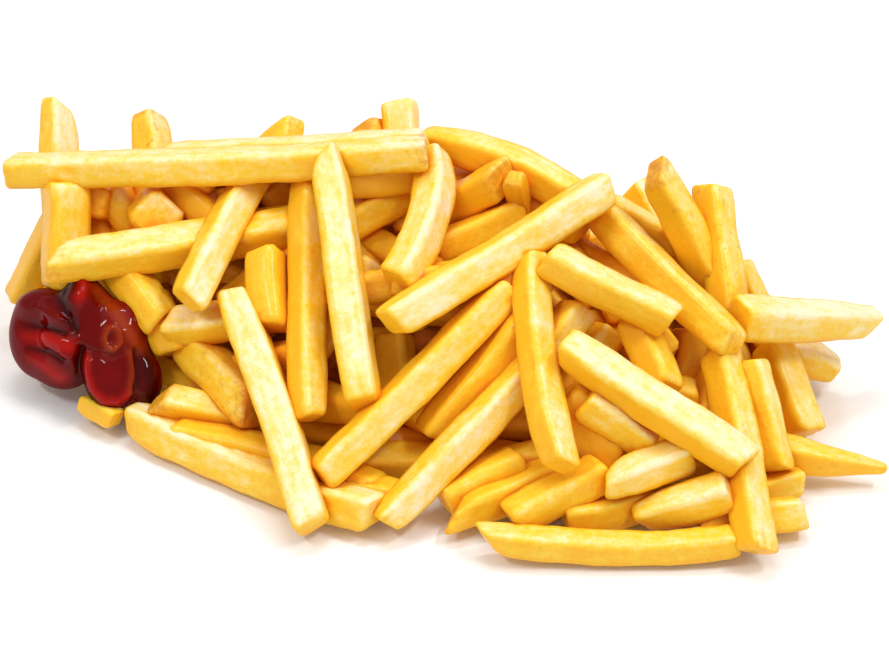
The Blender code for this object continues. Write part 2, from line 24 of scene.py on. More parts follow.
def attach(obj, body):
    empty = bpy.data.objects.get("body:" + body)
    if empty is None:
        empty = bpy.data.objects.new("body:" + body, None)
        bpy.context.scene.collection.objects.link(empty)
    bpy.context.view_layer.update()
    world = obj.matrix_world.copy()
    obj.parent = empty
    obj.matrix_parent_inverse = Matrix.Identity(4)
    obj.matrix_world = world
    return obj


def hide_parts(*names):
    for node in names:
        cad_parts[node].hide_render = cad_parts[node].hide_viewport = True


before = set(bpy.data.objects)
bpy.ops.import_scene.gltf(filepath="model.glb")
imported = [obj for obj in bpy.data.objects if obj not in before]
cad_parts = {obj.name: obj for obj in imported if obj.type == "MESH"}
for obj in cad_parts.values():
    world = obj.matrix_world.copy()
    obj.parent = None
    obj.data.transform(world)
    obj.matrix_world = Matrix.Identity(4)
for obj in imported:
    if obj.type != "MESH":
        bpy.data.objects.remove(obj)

LOG = logging.getLogger("fries")
MM = 0.001
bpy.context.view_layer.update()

# The shift that centres the heap on the origin, as in its solid model, mm.
CENTRE_SHIFT = Vector((3.9, -2.1, 0.0))

# The turn between neighbours that spreads points evenly over a round surface.
GOLDEN_TURN = math.pi * (3.0 - math.sqrt(5.0))


def held(value: float, low: float, high: float) -> float:
    """Keeps a value between two others."""
    return min(max(value, low), high)


def linear(red: float, green: float, blue: float) -> tuple[float, float, float, float]:
    """Turns a display colour of 0 to 255 into the linear one that a shader takes."""
    parts = []
    for part in (red, green, blue):
        share = part / 255.0
        parts.append(share / 12.92 if share <= 0.04045 else ((share + 0.055) / 1.055) ** 2.4)
    return (*parts, 1.0)


class Side(Enum):
    """Which side of the heap a rule lays its fries on."""

    AWAY = "faces away from the view"
    TOWARDS = "faces the view"


class PhotoView:
    """The view of the photograph: a pixel's line of sight, and the camera that sees so."""

    width_px = 889.0
    centre_px = (444.5, 333.5)
    px_per_mm = 4.0
    rise = math.radians(35.0)
    distance = 650.0
    target = Vector((-1.0, 2.0, 24.0))
    sensor = 36.0

    def __init__(self) -> None:
        """Works out the view's directions and its eye."""
        self.to_eye = Vector((0.0, -math.cos(self.rise), math.sin(self.rise)))
        self.up = Vector((0.0, math.sin(self.rise), math.cos(self.rise)))
        self.right = Vector((1.0, 0.0, 0.0))
        self.eye = self.target + self.to_eye * self.distance
        self.focal_px = self.px_per_mm * self.distance

    def sight(self, px: Sequence[float]) -> Vector:
        """Gives the direction from the eye through a pixel.

        Args:
            px: The pixel, from the picture's upper left corner.

        Returns:
            The direction, one long.
        """
        right = (px[0] - self.centre_px[0]) / self.focal_px
        down = (px[1] - self.centre_px[1]) / self.focal_px
        return (self.right * right - self.up * down - self.to_eye).normalized()

    def pixel_of(self, point: Vector) -> tuple[float, float]:
        """Gives the pixel at which a point shows.

        Args:
            point: The point, mm.

        Returns:
            The pixel.
        """
        offset = point - self.eye
        depth = -offset.dot(self.to_eye)
        return (
            self.centre_px[0] + self.focal_px * offset.dot(self.right) / depth,
            self.centre_px[1] - self.focal_px * offset.dot(self.up) / depth,
        )

    def add_camera(self) -> None:
        """Adds the camera at the photograph's place and angle."""
        data = bpy.data.cameras.new("camera")
        data.sensor_width = self.sensor
        data.lens = self.sensor * self.focal_px / self.width_px
        data.clip_start = 0.01
        camera = bpy.data.objects.new("camera", data)
        camera.location = (self.eye + CENTRE_SHIFT) * MM
        camera.rotation_euler = (-self.to_eye).to_track_quat("-Z", "Y").to_euler()
        bpy.context.scene.collection.objects.link(camera)
        bpy.context.scene.camera = camera


class Station(NamedTuple):
    """The heap's middle layer at one place along its length, mm."""

    x: float
    front: float
    ridge: float
    back: float
    crest: float


class MiddleLayer:
    """The smooth layer through the middle of the fries that show."""

    stations = (
        Station(-112.0, 18.0, 28.0, 36.0, 14.0),
        Station(-100.0, 11.0, 28.0, 42.0, 31.0),
        Station(-80.0, 2.0, 28.0, 50.0, 46.0),
        Station(-39.0, -30.0, 24.0, 56.0, 54.0),
        Station(0.0, -40.0, 20.0, 56.0, 55.0),
        Station(39.0, -52.0, 12.0, 50.0, 50.0),
        Station(73.0, -50.0, 0.0, 36.0, 39.0),
        Station(89.0, -42.0, -8.0, 20.0, 23.0),
        Station(112.0, -28.0, -14.0, -2.0, 6.0),
    )
    half_length = 110.0
    feeler = 0.5

    def station_at(self, x: float) -> Station:
        """Gives the layer's section at a place along the heap.

        Args:
            x: The place, mm.

        Returns:
            The section there, between its neighbours.
        """
        x = held(x, self.stations[0].x, self.stations[-1].x)
        for left, right in zip(self.stations, self.stations[1:]):
            if x <= right.x:
                break
        f = (x - left.x) / (right.x - left.x)
        return Station(*(a + (b - a) * f for a, b in zip(left, right)))

    def outside(self, point: Vector) -> float:
        """Gives about how far a point is outside the layer.

        Args:
            point: The point, mm.

        Returns:
            The distance, mm, below zero inside.
        """
        here = self.station_at(point.x)
        half = here.back - here.ridge if point.y > here.ridge else here.ridge - here.front
        share = math.hypot((point.y - here.ridge) / half, point.z / here.crest)
        beyond = max(abs(point.x) - self.half_length, 0.0)
        return (share - 1.0) * min(half, here.crest) + beyond

    def outward(self, point: Vector) -> Vector:
        """Gives the direction in which the distance outside a point grows fastest."""
        axes = Matrix.Identity(3) * self.feeler
        slopes = [self.outside(point + axis) - self.outside(point - axis) for axis in axes]
        return Vector(slopes).normalized()

    def shape(self, inset: float, sides: int, rings: int, reach: float) -> bmesh.types.BMesh:
        """Draws the layer in by an inset and cuts it flat at the floor.

        Args:
            inset: How far it is drawn in at the front, mm.
            sides: Faces round it.
            rings: Faces along it.
            reach: Half its length, mm.

        Returns:
            The closed shape, mm.
        """
        crest_share = 0.7
        back_share = 0.6
        bm = bmesh.new()
        bmesh.ops.create_uvsphere(bm, u_segments=sides, v_segments=rings, radius=1.0)
        for vert in bm.verts:
            along, across, rise = vert.co.z, vert.co.x, vert.co.y
            ring = math.hypot(across, rise)
            x = along * reach
            here = self.station_at(x)
            if ring > 1e-6:
                across, rise = across / ring, rise / ring
            swell = math.sqrt(ring)
            if across > 0.0:
                half = here.back - here.ridge - inset * back_share
            else:
                half = here.ridge - here.front - inset
            y = here.ridge + max(half, 1.0) * across * swell
            vert.co = Vector((x, y, (here.crest - inset * crest_share) * rise * swell))
        bmesh.ops.bisect_plane(
            bm,
            geom=bm.verts[:] + bm.edges[:] + bm.faces[:],
            plane_co=(0, 0, 0),
            plane_no=(0, 0, 1),
            clear_inner=True,
        )
        bmesh.ops.holes_fill(bm, edges=[edge for edge in bm.edges if edge.is_boundary])
        bm.normal_update()
        bmesh.ops.recalc_face_normals(bm, faces=bm.faces)
        return bm


class Fry(NamedTuple):
    """One fry: its ends in the photograph and its own shape.

    Attributes:
        name: What it is called.
        start_px: One end, in pixels.
        end_px: The other end, in pixels.
        width: Side of its square section, mm.
        turn: How far the section is turned about the fry's length, degrees.
        bow: How far its middle bends up, mm.
        tip: Width of the far end as a share of the near one.
        stand: Least height of each end, mm.
        steepest: Greatest slope against the picture plane.
    """

    name: str
    start_px: tuple
    end_px: tuple
    width: float = 8.0
    turn: float = 30.0
    bow: float = 0.0
    tip: float = 1.0
    stand: tuple = (0.0, 0.0)
    steepest: float = 0.5


# Every fry that shows, undermost first.
SEEN = (
    Fry("deep_left", (128, 290), (165, 345)),
    Fry("deep_left_high", (150, 268), (215, 300)),
    Fry("deep_mid", (205, 262), (300, 300)),
    Fry("deep_mid_rise", (225, 310), (300, 250)),
    Fry("deep_mid_low", (240, 345), (290, 290)),
    Fry("deep_centre", (350, 340), (430, 330)),
    Fry("deep_centre_low", (395, 335), (400, 400)),
    Fry("deep_right", (575, 320), (640, 345)),
    Fry("deep_right_slant", (610, 330), (560, 400)),
    Fry("deep_right_far", (690, 330), (680, 410)),
    Fry("deep_right_high", (560, 250), (600, 300)),
    Fry("deep_right_flat", (640, 390), (700, 400)),
    Fry("floor_right", (640, 485), (720, 462)),
    Fry("floor_mid", (565, 520), (650, 500)),
    Fry("floor_left", (345, 490), (400, 500)),
    Fry("floor_far", (690, 440), (640, 470)),
    Fry("prop_left", (44, 300), (150, 285), stand=(12.0, 20.0)),
    Fry("upright_left", (57, 104), (66, 285), 8.4, 35.0, stand=(54.0, 16.0)),
    Fry("lean_left", (68, 205), (20, 300), 8.0, 25.0, stand=(34.0, 6.0)),
    Fry("stub_left", (149, 116), (162, 262), 8.4, 40.0, stand=(54.0, 30.0)),
    Fry("cross_left", (104, 195), (162, 252), 7.6),
    Fry("stub_olive", (296, 128), (218, 205), 8.0, 40.0, stand=(58.0, 36.0)),
    Fry("stub_brown", (366, 124), (404, 225), 8.0, 20.0, stand=(59.0, 42.0)),
    Fry("stub_pale", (399, 102), (412, 230), 8.6, 10.0, stand=(63.0, 40.0)),
    Fry("spot_left", (262, 205), (308, 182), 8.0, 20.0),
    Fry("spot_right", (348, 226), (412, 188), 8.0, 20.0),
    Fry("gap_top", (350, 180), (420, 175), 8.0, 20.0),
    Fry("top_arch", (424, 140), (582, 205), 8.2, 30.0, 2.5, stand=(59.0, 53.0)),
    Fry("brown_tip", (436, 212), (503, 178), 8.4, 15.0),
    Fry("upright_mid", (514, 178), (528, 240), 7.0),
    Fry("streak", (436, 250), (520, 212), 8.0, 15.0),
    Fry("behind_left", (634, 186), (696, 306), 7.5, stand=(46.0, 24.0)),
    Fry("behind_flat", (610, 212), (700, 256), 8.2, 15.0, stand=(42.0, 34.0)),
    Fry("speckled", (684, 212), (712, 312), stand=(44.0, 24.0)),
    Fry("behind_right", (737, 262), (772, 346), 6.5, stand=(30.0, 10.0)),
    Fry("dark_tip", (654, 170), (728, 308), 8.0, 40.0, stand=(52.0, 26.0)),
    Fry("stub_tall", (712, 186), (730, 330), 8.0, 35.0, stand=(50.0, 22.0)),
    Fry("right_low", (770, 345), (836, 370), 8.2),
    Fry("right_wing", (738, 318), (872, 322), 9.4, 30.0, tip=0.7, stand=(22.0, 14.0), steepest=0.1),
    Fry("right_tip", (752, 448), (886, 469), 7.8, tip=0.3),
    Fry("right_small", (755, 492), (800, 480), 6.5),
    Fry("right_stub", (700, 522), (802, 512), 7.8, 10.0),
    Fry("right_steep", (770, 345), (806, 434), 7.6, 45.0),
    Fry("right_thin", (750, 360), (778, 470), 7.4, 20.0),
    Fry("left_under", (84, 402), (116, 420)),
    Fry("left_base", (132, 417), (375, 512), 8.2, 30.0, -2.0),
    Fry("dip_mid", (345, 462), (480, 462), 8.2, 50.0),
    Fry("left_low", (158, 400), (282, 430), 7.6, 50.0),
    Fry("left_wide", (186, 343), (256, 410), 8.8),
    Fry("left_fan", (172, 328), (245, 318), 8.2, 45.0),
    Fry("mid_left", (52, 264), (300, 226), 8.0, 45.0, steepest=0.1),
    Fry("steep_pale", (260, 170), (188, 302), 8.0, 20.0, 1.0),
    Fry("mid_lower", (470, 476), (562, 452)),
    Fry("low_brown", (452, 518), (560, 470)),
    Fry("low_mid", (512, 520), (605, 470), 8.2, 35.0),
    Fry("wedge", (560, 398), (622, 448), 9.6, 20.0),
    Fry("end_high", (585, 400), (655, 448), 8.4),
    Fry("end_mid", (606, 486), (690, 452), 8.0, 40.0),
    Fry("end_low", (640, 518), (730, 490), 8.4, 40.0),
    Fry("gold_mid", (636, 318), (664, 392)),
    Fry("between", (432, 436), (530, 315), 9.0),
    Fry("front_base", (484, 536), (738, 540), 7.6, 40.0, -2.5, steepest=0.1),
    Fry("pale_long", (384, 522), (580, 308), 7.8, 30.0, -1.0),
    Fry("vert_left", (309, 175), (309, 418), 7.8, 40.0, 0.8),
    Fry("curved", (432, 150), (397, 282), 8.6, 50.0, -2.0),
    Fry("long_top", (10, 171), (427, 152), 8.0, 20.0, -1.0, steepest=0.1),
    Fry("vert_mid", (326, 148), (364, 404), 8.2, 15.0),
    Fry("diag_low", (508, 290), (320, 478), 7.8, 20.0),
    Fry("steep_left", (234, 294), (312, 526), 8.2, 10.0, 0.5),
    Fry("vert_right", (532, 255), (562, 466), 8.0, 45.0, 1.2),
    Fry("right_pale", (546, 258), (672, 322)),
    Fry("long_right", (720, 352), (758, 552), 8.2, 40.0),
    Fry("diag_right", (598, 212), (734, 346), 8.6, 15.0),
    Fry("diag_top", (390, 323), (608, 187), 8.2, 15.0),
    Fry("diag_pale", (565, 346), (746, 464), 8.8, 55.0),
)


class Look(NamedTuple):
    """How one fry was fried.

    Attributes:
        tone: From 0, cream, to 1, deep gold.
        brown: How toasted its start and its end are, 0 to 1.
        speckle: How many small brown spots it has, 0 to 1.
        slant: How slanted its start and its end are cut, as a slope.
        taper: Width of its start and of its end as a share of its body's.
        girth: Its thickness as a share of its solid's.
        bend: How much more its middle bends up than its solid's, mm.
        cuts: Which way each end's cut slants, degrees from the viewer's side up, if known.
    """

    tone: float
    brown: tuple = (0.0, 0.0)
    speckle: float = 0.1
    slant: tuple = (0.2, 0.2)
    taper: tuple = (1.0, 1.0)
    girth: float = 1.0
    bend: float = 0.0
    cuts: tuple = (None, None)


# The looks of the fries whose looks the photograph shows; the others take theirs by draw.
LOOKS = {
    "upright_left": Look(0.22, (0.1, 0.1), 0.1, (0.7, 0.1), (0.72, 1.0)),
    "lean_left": Look(0.42, (0.0, 0.4)),
    "stub_left": Look(0.4, (0.45, 0.0), 0.6, (0.2, 0.1), (0.85, 1.0)),
    "cross_left": Look(0.55, (0.1, 0.0)),
    "stub_olive": Look(0.62, (0.25, 0.0), 0.2, (0.6, 0.1), (0.8, 1.0)),
    "stub_brown": Look(0.5, (0.6, 0.0)),
    "stub_pale": Look(0.22, (0.1, 0.0)),
    "gap_top": Look(0.65),
    "spot_left": Look(0.45),
    "spot_right": Look(0.45),
    "top_arch": Look(0.45, (0.2, 0.1), taper=(0.7, 1.0)),
    "brown_tip": Look(0.5, (0.0, 0.45), 0.1, (0.2, 0.5)),
    "upright_mid": Look(0.75, (0.4, 0.0), 0.2, (0.2, 0.2), (0.8, 1.0), 0.8),
    "streak": Look(0.55, (0.0, 0.1)),
    "behind_left": Look(0.2),
    "behind_flat": Look(0.35),
    "speckled": Look(0.45, (0.2, 0.0), 1.0),
    "dark_tip": Look(0.55, (0.55, 0.0), 0.3, (0.7, 0.1), (0.8, 1.0)),
    "stub_tall": Look(0.5, (0.2, 0.0), 0.5),
    "right_low": Look(0.1, (0.0, 0.1), 0.0, (0.2, 0.1), (1.0, 0.6), 1.1),
    "right_wing": Look(0.15, (0.0, 0.1), 0.1, (0.1, 0.6), cuts=(None, 90.0)),
    "right_tip": Look(0.5, (0.0, 0.3), 0.3),
    "right_small": Look(0.45),
    "right_stub": Look(0.35, (0.0, 0.15), 0.3),
    "right_steep": Look(0.45, (0.0, 0.2), 0.1, (0.2, 0.2), (1.0, 1.0), 1.15),
    "right_thin": Look(0.4),
    "left_under": Look(0.5, taper=(0.7, 0.8), girth=0.78),
    "left_base": Look(0.08, (0.1, 0.1), 0.05, (0.3, 0.2), (0.8, 1.0), 1.08),
    "dip_mid": Look(0.5, (0.0, 0.0), 0.1),
    "left_low": Look(0.25, (0.5, 0.1), 0.2, (0.6, 0.2)),
    "left_wide": Look(0.25, (0.0, 0.65), 0.4, (0.2, 0.4), (0.8, 1.0), 1.1),
    "left_fan": Look(0.05, (0.1, 0.1), 0.1, (0.5, 0.2), (0.9, 0.75), 1.1),
    "mid_left": Look(0.28, (0.35, 0.1), 0.1, (0.8, 0.2), (0.8, 1.0), 1.15),
    "steep_pale": Look(0.22, (0.0, 0.15), 0.05, (0.2, 0.3), (0.8, 1.0), 1.05),
    "mid_lower": Look(0.4),
    "low_brown": Look(0.5, (0.35, 0.0), 0.1, (1.3, 0.1), (0.6, 1.0), cuts=(90.0, None)),
    "low_mid": Look(0.55, (0.15, 0.0), 0.2),
    "wedge": Look(0.45, (0.0, 0.1), 0.1, (0.2, 0.5), (1.05, 0.9), 1.6),
    "end_high": Look(0.05, (0.0, 0.1), 0.0, (0.1, 0.3), (1.0, 0.75)),
    "end_mid": Look(0.05, (0.1, 0.0), 0.0, (0.5, 0.1), (0.6, 1.0)),
    "end_low": Look(0.0, (0.1, 0.0), 0.0, (0.5, 0.1), (0.65, 1.0)),
    "gold_mid": Look(0.6),
    "between": Look(0.55, (0.25, 0.0), 0.1, (0.2, 0.2), (0.9, 1.0)),
    "front_base": Look(0.4, (0.2, 0.2), 0.2, (0.9, 0.2), (0.85, 0.9), 0.88, cuts=(-90.0, None)),
    "pale_long": Look(0.18, (0.25, 0.0), 0.0, (0.3, 0.2), (0.85, 1.0)),
    "vert_left": Look(0.4, (0.0, 0.2), 0.1, (0.2, 0.2), (0.85, 0.85)),
    "curved": Look(0.1, (0.1, 0.1), 0.0, (0.2, 0.4), (0.75, 1.0), 1.0, -1.5),
    "long_top": Look(0.18, (0.1, 0.45), 0.1),
    "vert_mid": Look(0.2, (0.25, 0.05), 0.05, (0.7, 0.2), (0.5, 1.0), 1.02),
    "diag_low": Look(0.28, (0.05, 0.15), 0.0, (0.3, 0.2), (0.9, 0.9), 1.06),
    "steep_left": Look(0.1, (0.1, 0.05), 0.0, (0.3, 0.2), (0.85, 0.95), 1.08),
    "vert_right": Look(0.4, (0.1, 0.25), 0.2, (0.2, 0.3), (0.8, 0.95), 0.96, -3.6),
    "right_pale": Look(0.32, (0.1, 0.1)),
    "long_right": Look(0.5, (0.1, 0.3), 0.3, (0.2, 0.4)),
    "diag_right": Look(0.42, (0.1, 0.3), 0.2, (0.5, 0.3), (0.85, 0.9)),
    "diag_top": Look(0.22, (0.1, 0.05), 0.0, (0.3, 0.2), (0.9, 0.95), 1.05),
    "diag_pale": Look(0.25, (0.1, 0.15), 0.05, (0.3, 0.3), (0.85, 0.95)),
}


class Deeper(NamedTuple):
    """A fry that only shows in a gap: where it shows, and how deep it lies.

    Attributes:
        fry: Its ends and its shape.
        sink: How deep it lies under the middle layer, mm.
        look: Its looks.
        lean: How much deeper its end lies than its start, mm.
    """

    fry: Fry
    sink: float
    look: Look
    lean: float = 0.0


# The fries that show only in part, through the gaps between the others; their deeper gold tones are
# partly painted shade of the gaps.
DEEPER = (
    Deeper(Fry("gap_far_left", (96, 186), (104, 268), 9.0), 14.0, Look(0.75)),
    Deeper(Fry("gap_left", (128, 186), (118, 268), 9.0), 18.0, Look(0.75)),
    Deeper(Fry("body_left", (66, 180), (66, 290), 10.5, 20.0), -1.5, Look(0.4)),
    Deeper(Fry("end_left", (157, 218), (150, 196), 11.5, 30.0), 2.0, Look(0.2, (0.2, 0.0)), 34.0),
    Deeper(Fry("slant_left", (106, 188), (158, 250), 8.6, 20.0), 8.0, Look(0.2), 12.0),
    Deeper(Fry("top_strip", (165, 158), (424, 142), 6.6, 20.0), 7.6, Look(0.1), -17.6),
    Deeper(Fry("gap_left_slant", (172, 176), (238, 244), 9.0), 10.0, Look(0.7)),
    Deeper(Fry("gap_left_flat", (150, 214), (250, 206), 9.0), 14.0, Look(0.75)),
    Deeper(Fry("leaf", (222, 245), (322, 218), 9.2, 40.0), 13.5, Look(0.28, taper=(0.6, 1.0))),
    Deeper(Fry("under_leaf", (266, 254), (272, 328), 9.0), 10.0, Look(0.65)),
    Deeper(Fry("by_sauce", (112, 258), (162, 322), 9.0), 5.0, Look(0.5)),
    Deeper(Fry("by_sauce_low", (148, 296), (176, 352), 9.0), 8.0, Look(0.7)),
    Deeper(Fry("over_base", (176, 436), (330, 470), 8.6), 7.0, Look(0.6)),
    Deeper(Fry("over_base_far", (290, 462), (380, 492), 8.6), 9.0, Look(0.65)),
    Deeper(Fry("under_pale", (442, 500), (520, 464), 8.6), 8.0, Look(0.5)),
    Deeper(Fry("top_gap", (432, 192), (520, 172), 9.0), 10.0, Look(0.6)),
    Deeper(Fry("top_gap_right", (500, 196), (584, 226), 9.0), 9.0, Look(0.65)),
)


@dataclass(eq=False)
class Rod:
    """A fry's straight axis, whose ends slide along one line each."""

    fry: Fry
    ends: list
    ways: list

    end_margin = 0.42
    floor_clearance = 0.74

    def at(self, share: float) -> Vector:
        """Gives the point at a share of the length."""
        return self.ends[0].lerp(self.ends[1], share)

    def length(self) -> float:
        """Gives the axis's length, mm."""
        return (self.ends[1] - self.ends[0]).length

    def margin(self) -> float:
        """Gives the share at each end that the rounded end of a contact rod leaves out."""
        return self.end_margin * self.fry.width / self.length()

    def way(self) -> Vector:
        """Gives the mean direction in which the rod slides outwards."""
        return (self.ways[0] + self.ways[1]).normalized()

    def push(self, share: float, move: float) -> None:
        """Slides the rod so that the point at a share of its length moves outwards.

        Args:
            share: Where along the rod.
            move: How far, mm.
        """
        near, far = 1.0 - share, share
        scale = move / (near * near + far * far)
        self.ends[0] = self.ends[0] + self.ways[0] * (scale * near)
        self.ends[1] = self.ends[1] + self.ways[1] * (scale * far)

    def lift_off_floor(self) -> None:
        """Slides an end that is too low outwards until it stands high enough."""
        for k in (0, 1):
            least = max(self.fry.width * self.floor_clearance, self.fry.stand[k])
            short = least - self.ends[k].z
            if short > 0.0 and self.ways[k].z > 0.2:
                self.ends[k] = self.ends[k] + self.ways[k] * (short / self.ways[k].z)


def flat(vector: Vector, along: Vector) -> Vector:
    """Gives a vector without its part along a direction."""
    return vector - along * vector.dot(along)


def mean_width(one: Rod, other: Rod) -> float:
    """Gives the mean width of two fries, mm: how far apart they lie when they touch."""
    return (one.fry.width + other.fry.width) / 2.0


def shared_way(one: Rod, other: Rod) -> Vector:
    """Gives the direction along which two rods slide past each other."""
    return (one.way() + other.way()).normalized()


def nearest_shares(low: Rod, high: Rod, along: Vector) -> tuple[float, float, float]:
    """Finds where two axes pass nearest as seen along a direction.

    Args:
        low: One rod.
        high: The other rod.
        along: The direction, or a null vector for the nearest places in space.

    Returns:
        The share along each rod, and how far apart they are there, mm.
    """
    m, n = low.margin(), high.margin()
    start, other = low.at(m), high.at(n)
    a, b = flat(low.at(1.0 - m) - start, along), flat(high.at(1.0 - n) - other, along)
    r = flat(start - other, along)
    aa, ab, bb, ar, br = a.dot(a), a.dot(b), b.dot(b), a.dot(r), b.dot(r)
    cross = aa * bb - ab * ab
    s = held((ab * br - bb * ar) / cross, 0.0, 1.0) if cross > 1e-6 * aa * bb else 0.5
    t = held((ab * s + br) / bb, 0.0, 1.0)
    s = held((ab * t - ar) / aa, 0.0, 1.0)
    gap = (r + a * s - b * t).length
    return m + s * (1.0 - 2.0 * m), n + t * (1.0 - 2.0 * n), gap


def share_near(point: Vector, rod: Rod, along: Vector) -> tuple[float, float]:
    """Finds the share of an axis that is nearest to a point as seen along a direction.

    Args:
        point: The point, mm.
        rod: The rod.
        along: The direction.

    Returns:
        The share along the rod, and how far apart they are there, mm.
    """
    m = rod.margin()
    start = rod.at(m)
    axis = flat(rod.at(1.0 - m) - start, along)
    offset = flat(point - start, along)
    t = held(offset.dot(axis) / axis.dot(axis), 0.0, 1.0)
    return m + t * (1.0 - 2.0 * m), (offset - axis * t).length


@dataclass(frozen=True)
class FillRule:
    """How many fries a rule lays, how large they are, and how much room each wants.

    Attributes:
        name: What its fries are called.
        side: The side of the heap that it covers.
        count: How many places it tries.
        seed: The seed of its draws.
        sink: How deep the first and the last fries lie under the middle layer, mm.
        overhang: How far an end may stand out of the layer, mm.
        clash: How deep a fry may pass into another, mm.
        length: Shortest and longest, mm.
        width: Thinnest and thickest, mm.
        tries: How many fries are tried at a place.
        half_length: How far from the heap's middle an end may lie along it, mm.
    """

    name: str
    side: Side
    count: int
    seed: int
    sink: tuple
    overhang: float
    clash: float
    length: tuple = (36.0, 62.0)
    width: tuple = (7.4, 8.6)
    tries: int = 40
    half_length: float = 120.0


# Fries of the back that would show past the others: how far each moves right and back, mm.
BACK_MOVES = {"back_213": (0.0, 10.0), "back_166": (0.0, 14.0), "back_1": (9.0, 2.0)}
BACK_LEFT_OUT = ("back_165",)


class Layout:
    """Lays the axes of all the fries of the heap.

    Attributes:
        contact: How far apart two fries rest, as a share of their mean width.
        deepest_sink: How deep the undermost fry is first laid under the middle layer, mm.
        top_sink: How deep the topmost one is, mm.
        search_reach: How far from the view's target a line of sight is followed, mm.
        search_step: The steps in which it is followed, mm.
        same_way: Least cosine between the ways of two rods that can meet.
        pair_reach: How near two axes pass that are kept as a pair, mm.
        part_share: How much of a clash is mended in one round.
        under_share: How much of that the lower fry gives way.
        fall_share: How much of the room below a fry falls in one round.
        settle_rounds: Rounds of settling.
        parting_rounds: How many of them, the last ones, only part the fries.
        loose_reach: Most room below a fry that only the core stops, mm.
        facing: Least cosine between the layer's outward way and a rod's for the core to stop it.
        sure_contact: How near two fries surely overlap, as a share of their mean width.
        hiding: How near one fry hides another, as a share of their mean width.
        no_way: Stands for a direction where the nearest places in space are meant.
        edge_on: Least cosine between outwards and the eye for a place that faces the view.
        most_tilt: How far a laid fry may turn from level, radians.
        near_floor: Below this height, in widths, a fry lies flat on the floor.
        heart: The point from which places are spread over the layer, mm.
        spokes: How far they reach along, across and up, mm.
        probes: In how many steps a rod is tried against the core.
        core_contact: How near the core a rod meets it, as a share of its width.
        gather_step: How far a fry that hangs free slides inwards in one round, mm.
        gather_rounds: Most rounds of that.
        core_inset: How far in the solid heap's core lies, mm, then its faces and half its length.
        outline_margin_px: How far below the heap's outline a filling fry stays, in pixels.
        back: The rule of the fries that cover the back.
        inner: The rule of those that fill the heap behind the ones that show.
        rear: The rule of those that fill it behind the fries of the back.
    """

    contact = 0.87
    deepest_sink = 25.0
    top_sink = 2.0
    search_reach = 110.0
    search_step = 1.5
    same_way = 0.3
    pair_reach = 16.0
    part_share = 0.7
    under_share = 0.62
    fall_share = 0.25
    settle_rounds = 60
    parting_rounds = 3
    loose_reach = 30.0
    facing = 0.6
    sure_contact = 0.93
    hiding = 0.85
    no_way = Vector((0.0, 0.0, 0.0))
    edge_on = 0.1
    most_tilt = 1.2
    near_floor = 1.2
    heart = Vector((0.0, 6.0, 0.0))
    spokes = (100.0, 50.0, 50.0)
    probes = 24
    core_contact = 0.4
    gather_step = 0.6
    gather_rounds = 60
    core_inset = 11.0
    core_sides = 14
    core_rings = 13
    core_reach = 103.0
    # The heap's upper outline as the photograph shows it, left to right.
    outline_px = (
        (0, 190), (30, 165), (300, 150), (430, 150), (560, 215), (620, 225),
        (700, 225), (745, 320), (850, 345), (889, 470),
    )
    outline_margin_px = 14.0
    back = FillRule("back", Side.AWAY, 300, 5, (7.0, -2.0), 9.0, 3.4)
    inner = FillRule("inner", Side.TOWARDS, 640, 11, (22.0, 6.0), 0.0, 4.4, tries=24)
    rear = FillRule("rear", Side.AWAY, 240, 17, (15.0, 3.0), 0.0, 4.6, tries=20, half_length=72.0)

    def __init__(self, view: PhotoView, layer: MiddleLayer) -> None:
        """Keeps the view and the layer that the fries are laid by."""
        self.view = view
        self.layer = layer

    def layer_distance(self, direction: Vector) -> float:
        """Gives how far the layer is along a line of sight, or where the line passes nearest.

        Args:
            direction: The line's direction from the eye.

        Returns:
            The distance from the eye, mm.
        """
        nearest = (math.inf, 0.0)
        reach = self.view.distance - self.search_reach
        while reach < self.view.distance + self.search_reach:
            point = self.view.eye + direction * reach
            if point.z < 0.0:
                break
            over = self.layer.outside(point)
            if over < 0.0:
                return reach
            nearest = min(nearest, (over, reach))
            reach += self.search_step
        return nearest[1]

    def first_lay(self, fry: Fry, sink: float) -> Rod:
        """Lays a fry's axis along the middle layer.

        Args:
            fry: The fry.
            sink: How deep it lies, mm.

        Returns:
            Its rod.
        """
        count = 8
        shares = [i / count for i in range(count + 1)]
        reaches = []
        for share in shares:
            px = tuple(a + (b - a) * share for a, b in zip(fry.start_px, fry.end_px))
            reaches.append(self.layer_distance(self.view.sight(px)))
        mean = sum(reaches) / len(reaches)
        spread = sum((s - 0.5) ** 2 for s in shares)
        slope = sum((s - 0.5) * (r - mean) for s, r in zip(shares, reaches)) / spread
        span = math.dist(fry.start_px, fry.end_px) / self.view.px_per_mm
        slope = held(slope, -fry.steepest * span, fry.steepest * span)
        lines = (self.view.sight(fry.start_px), self.view.sight(fry.end_px))
        eye = self.view.eye
        start = eye + lines[0] * (mean + sink - slope / 2)
        end = eye + lines[1] * (mean + sink + slope / 2)
        return Rod(fry, [start, end], [-lines[0], -lines[1]])

    def part_pair(self, low: Rod, high: Rod) -> None:
        """Slides two rods apart where they meet.

        Args:
            low: The rod that lies deeper.
            high: The rod on top.
        """
        along = shared_way(low, high)
        reach = mean_width(low, high) * self.contact
        spots = [nearest_shares(low, high, along)]
        m, n = low.margin(), high.margin()
        for s, t in ((m, n), (1.0 - m, 1.0 - n)):
            spots.append((s, *share_near(low.at(s), high, along)))
            far, gap = share_near(high.at(t), low, along)
            spots.append((far, t, gap))
        for s, t, gap in spots:
            if gap >= reach:
                continue
            have = (high.at(t) - low.at(s)).dot(along)
            missing = math.sqrt(reach * reach - gap * gap) - have
            if missing > 0.0:
                low.push(s, -self.part_share * missing * self.under_share)
                high.push(t, self.part_share * missing * (1.0 - self.under_share))

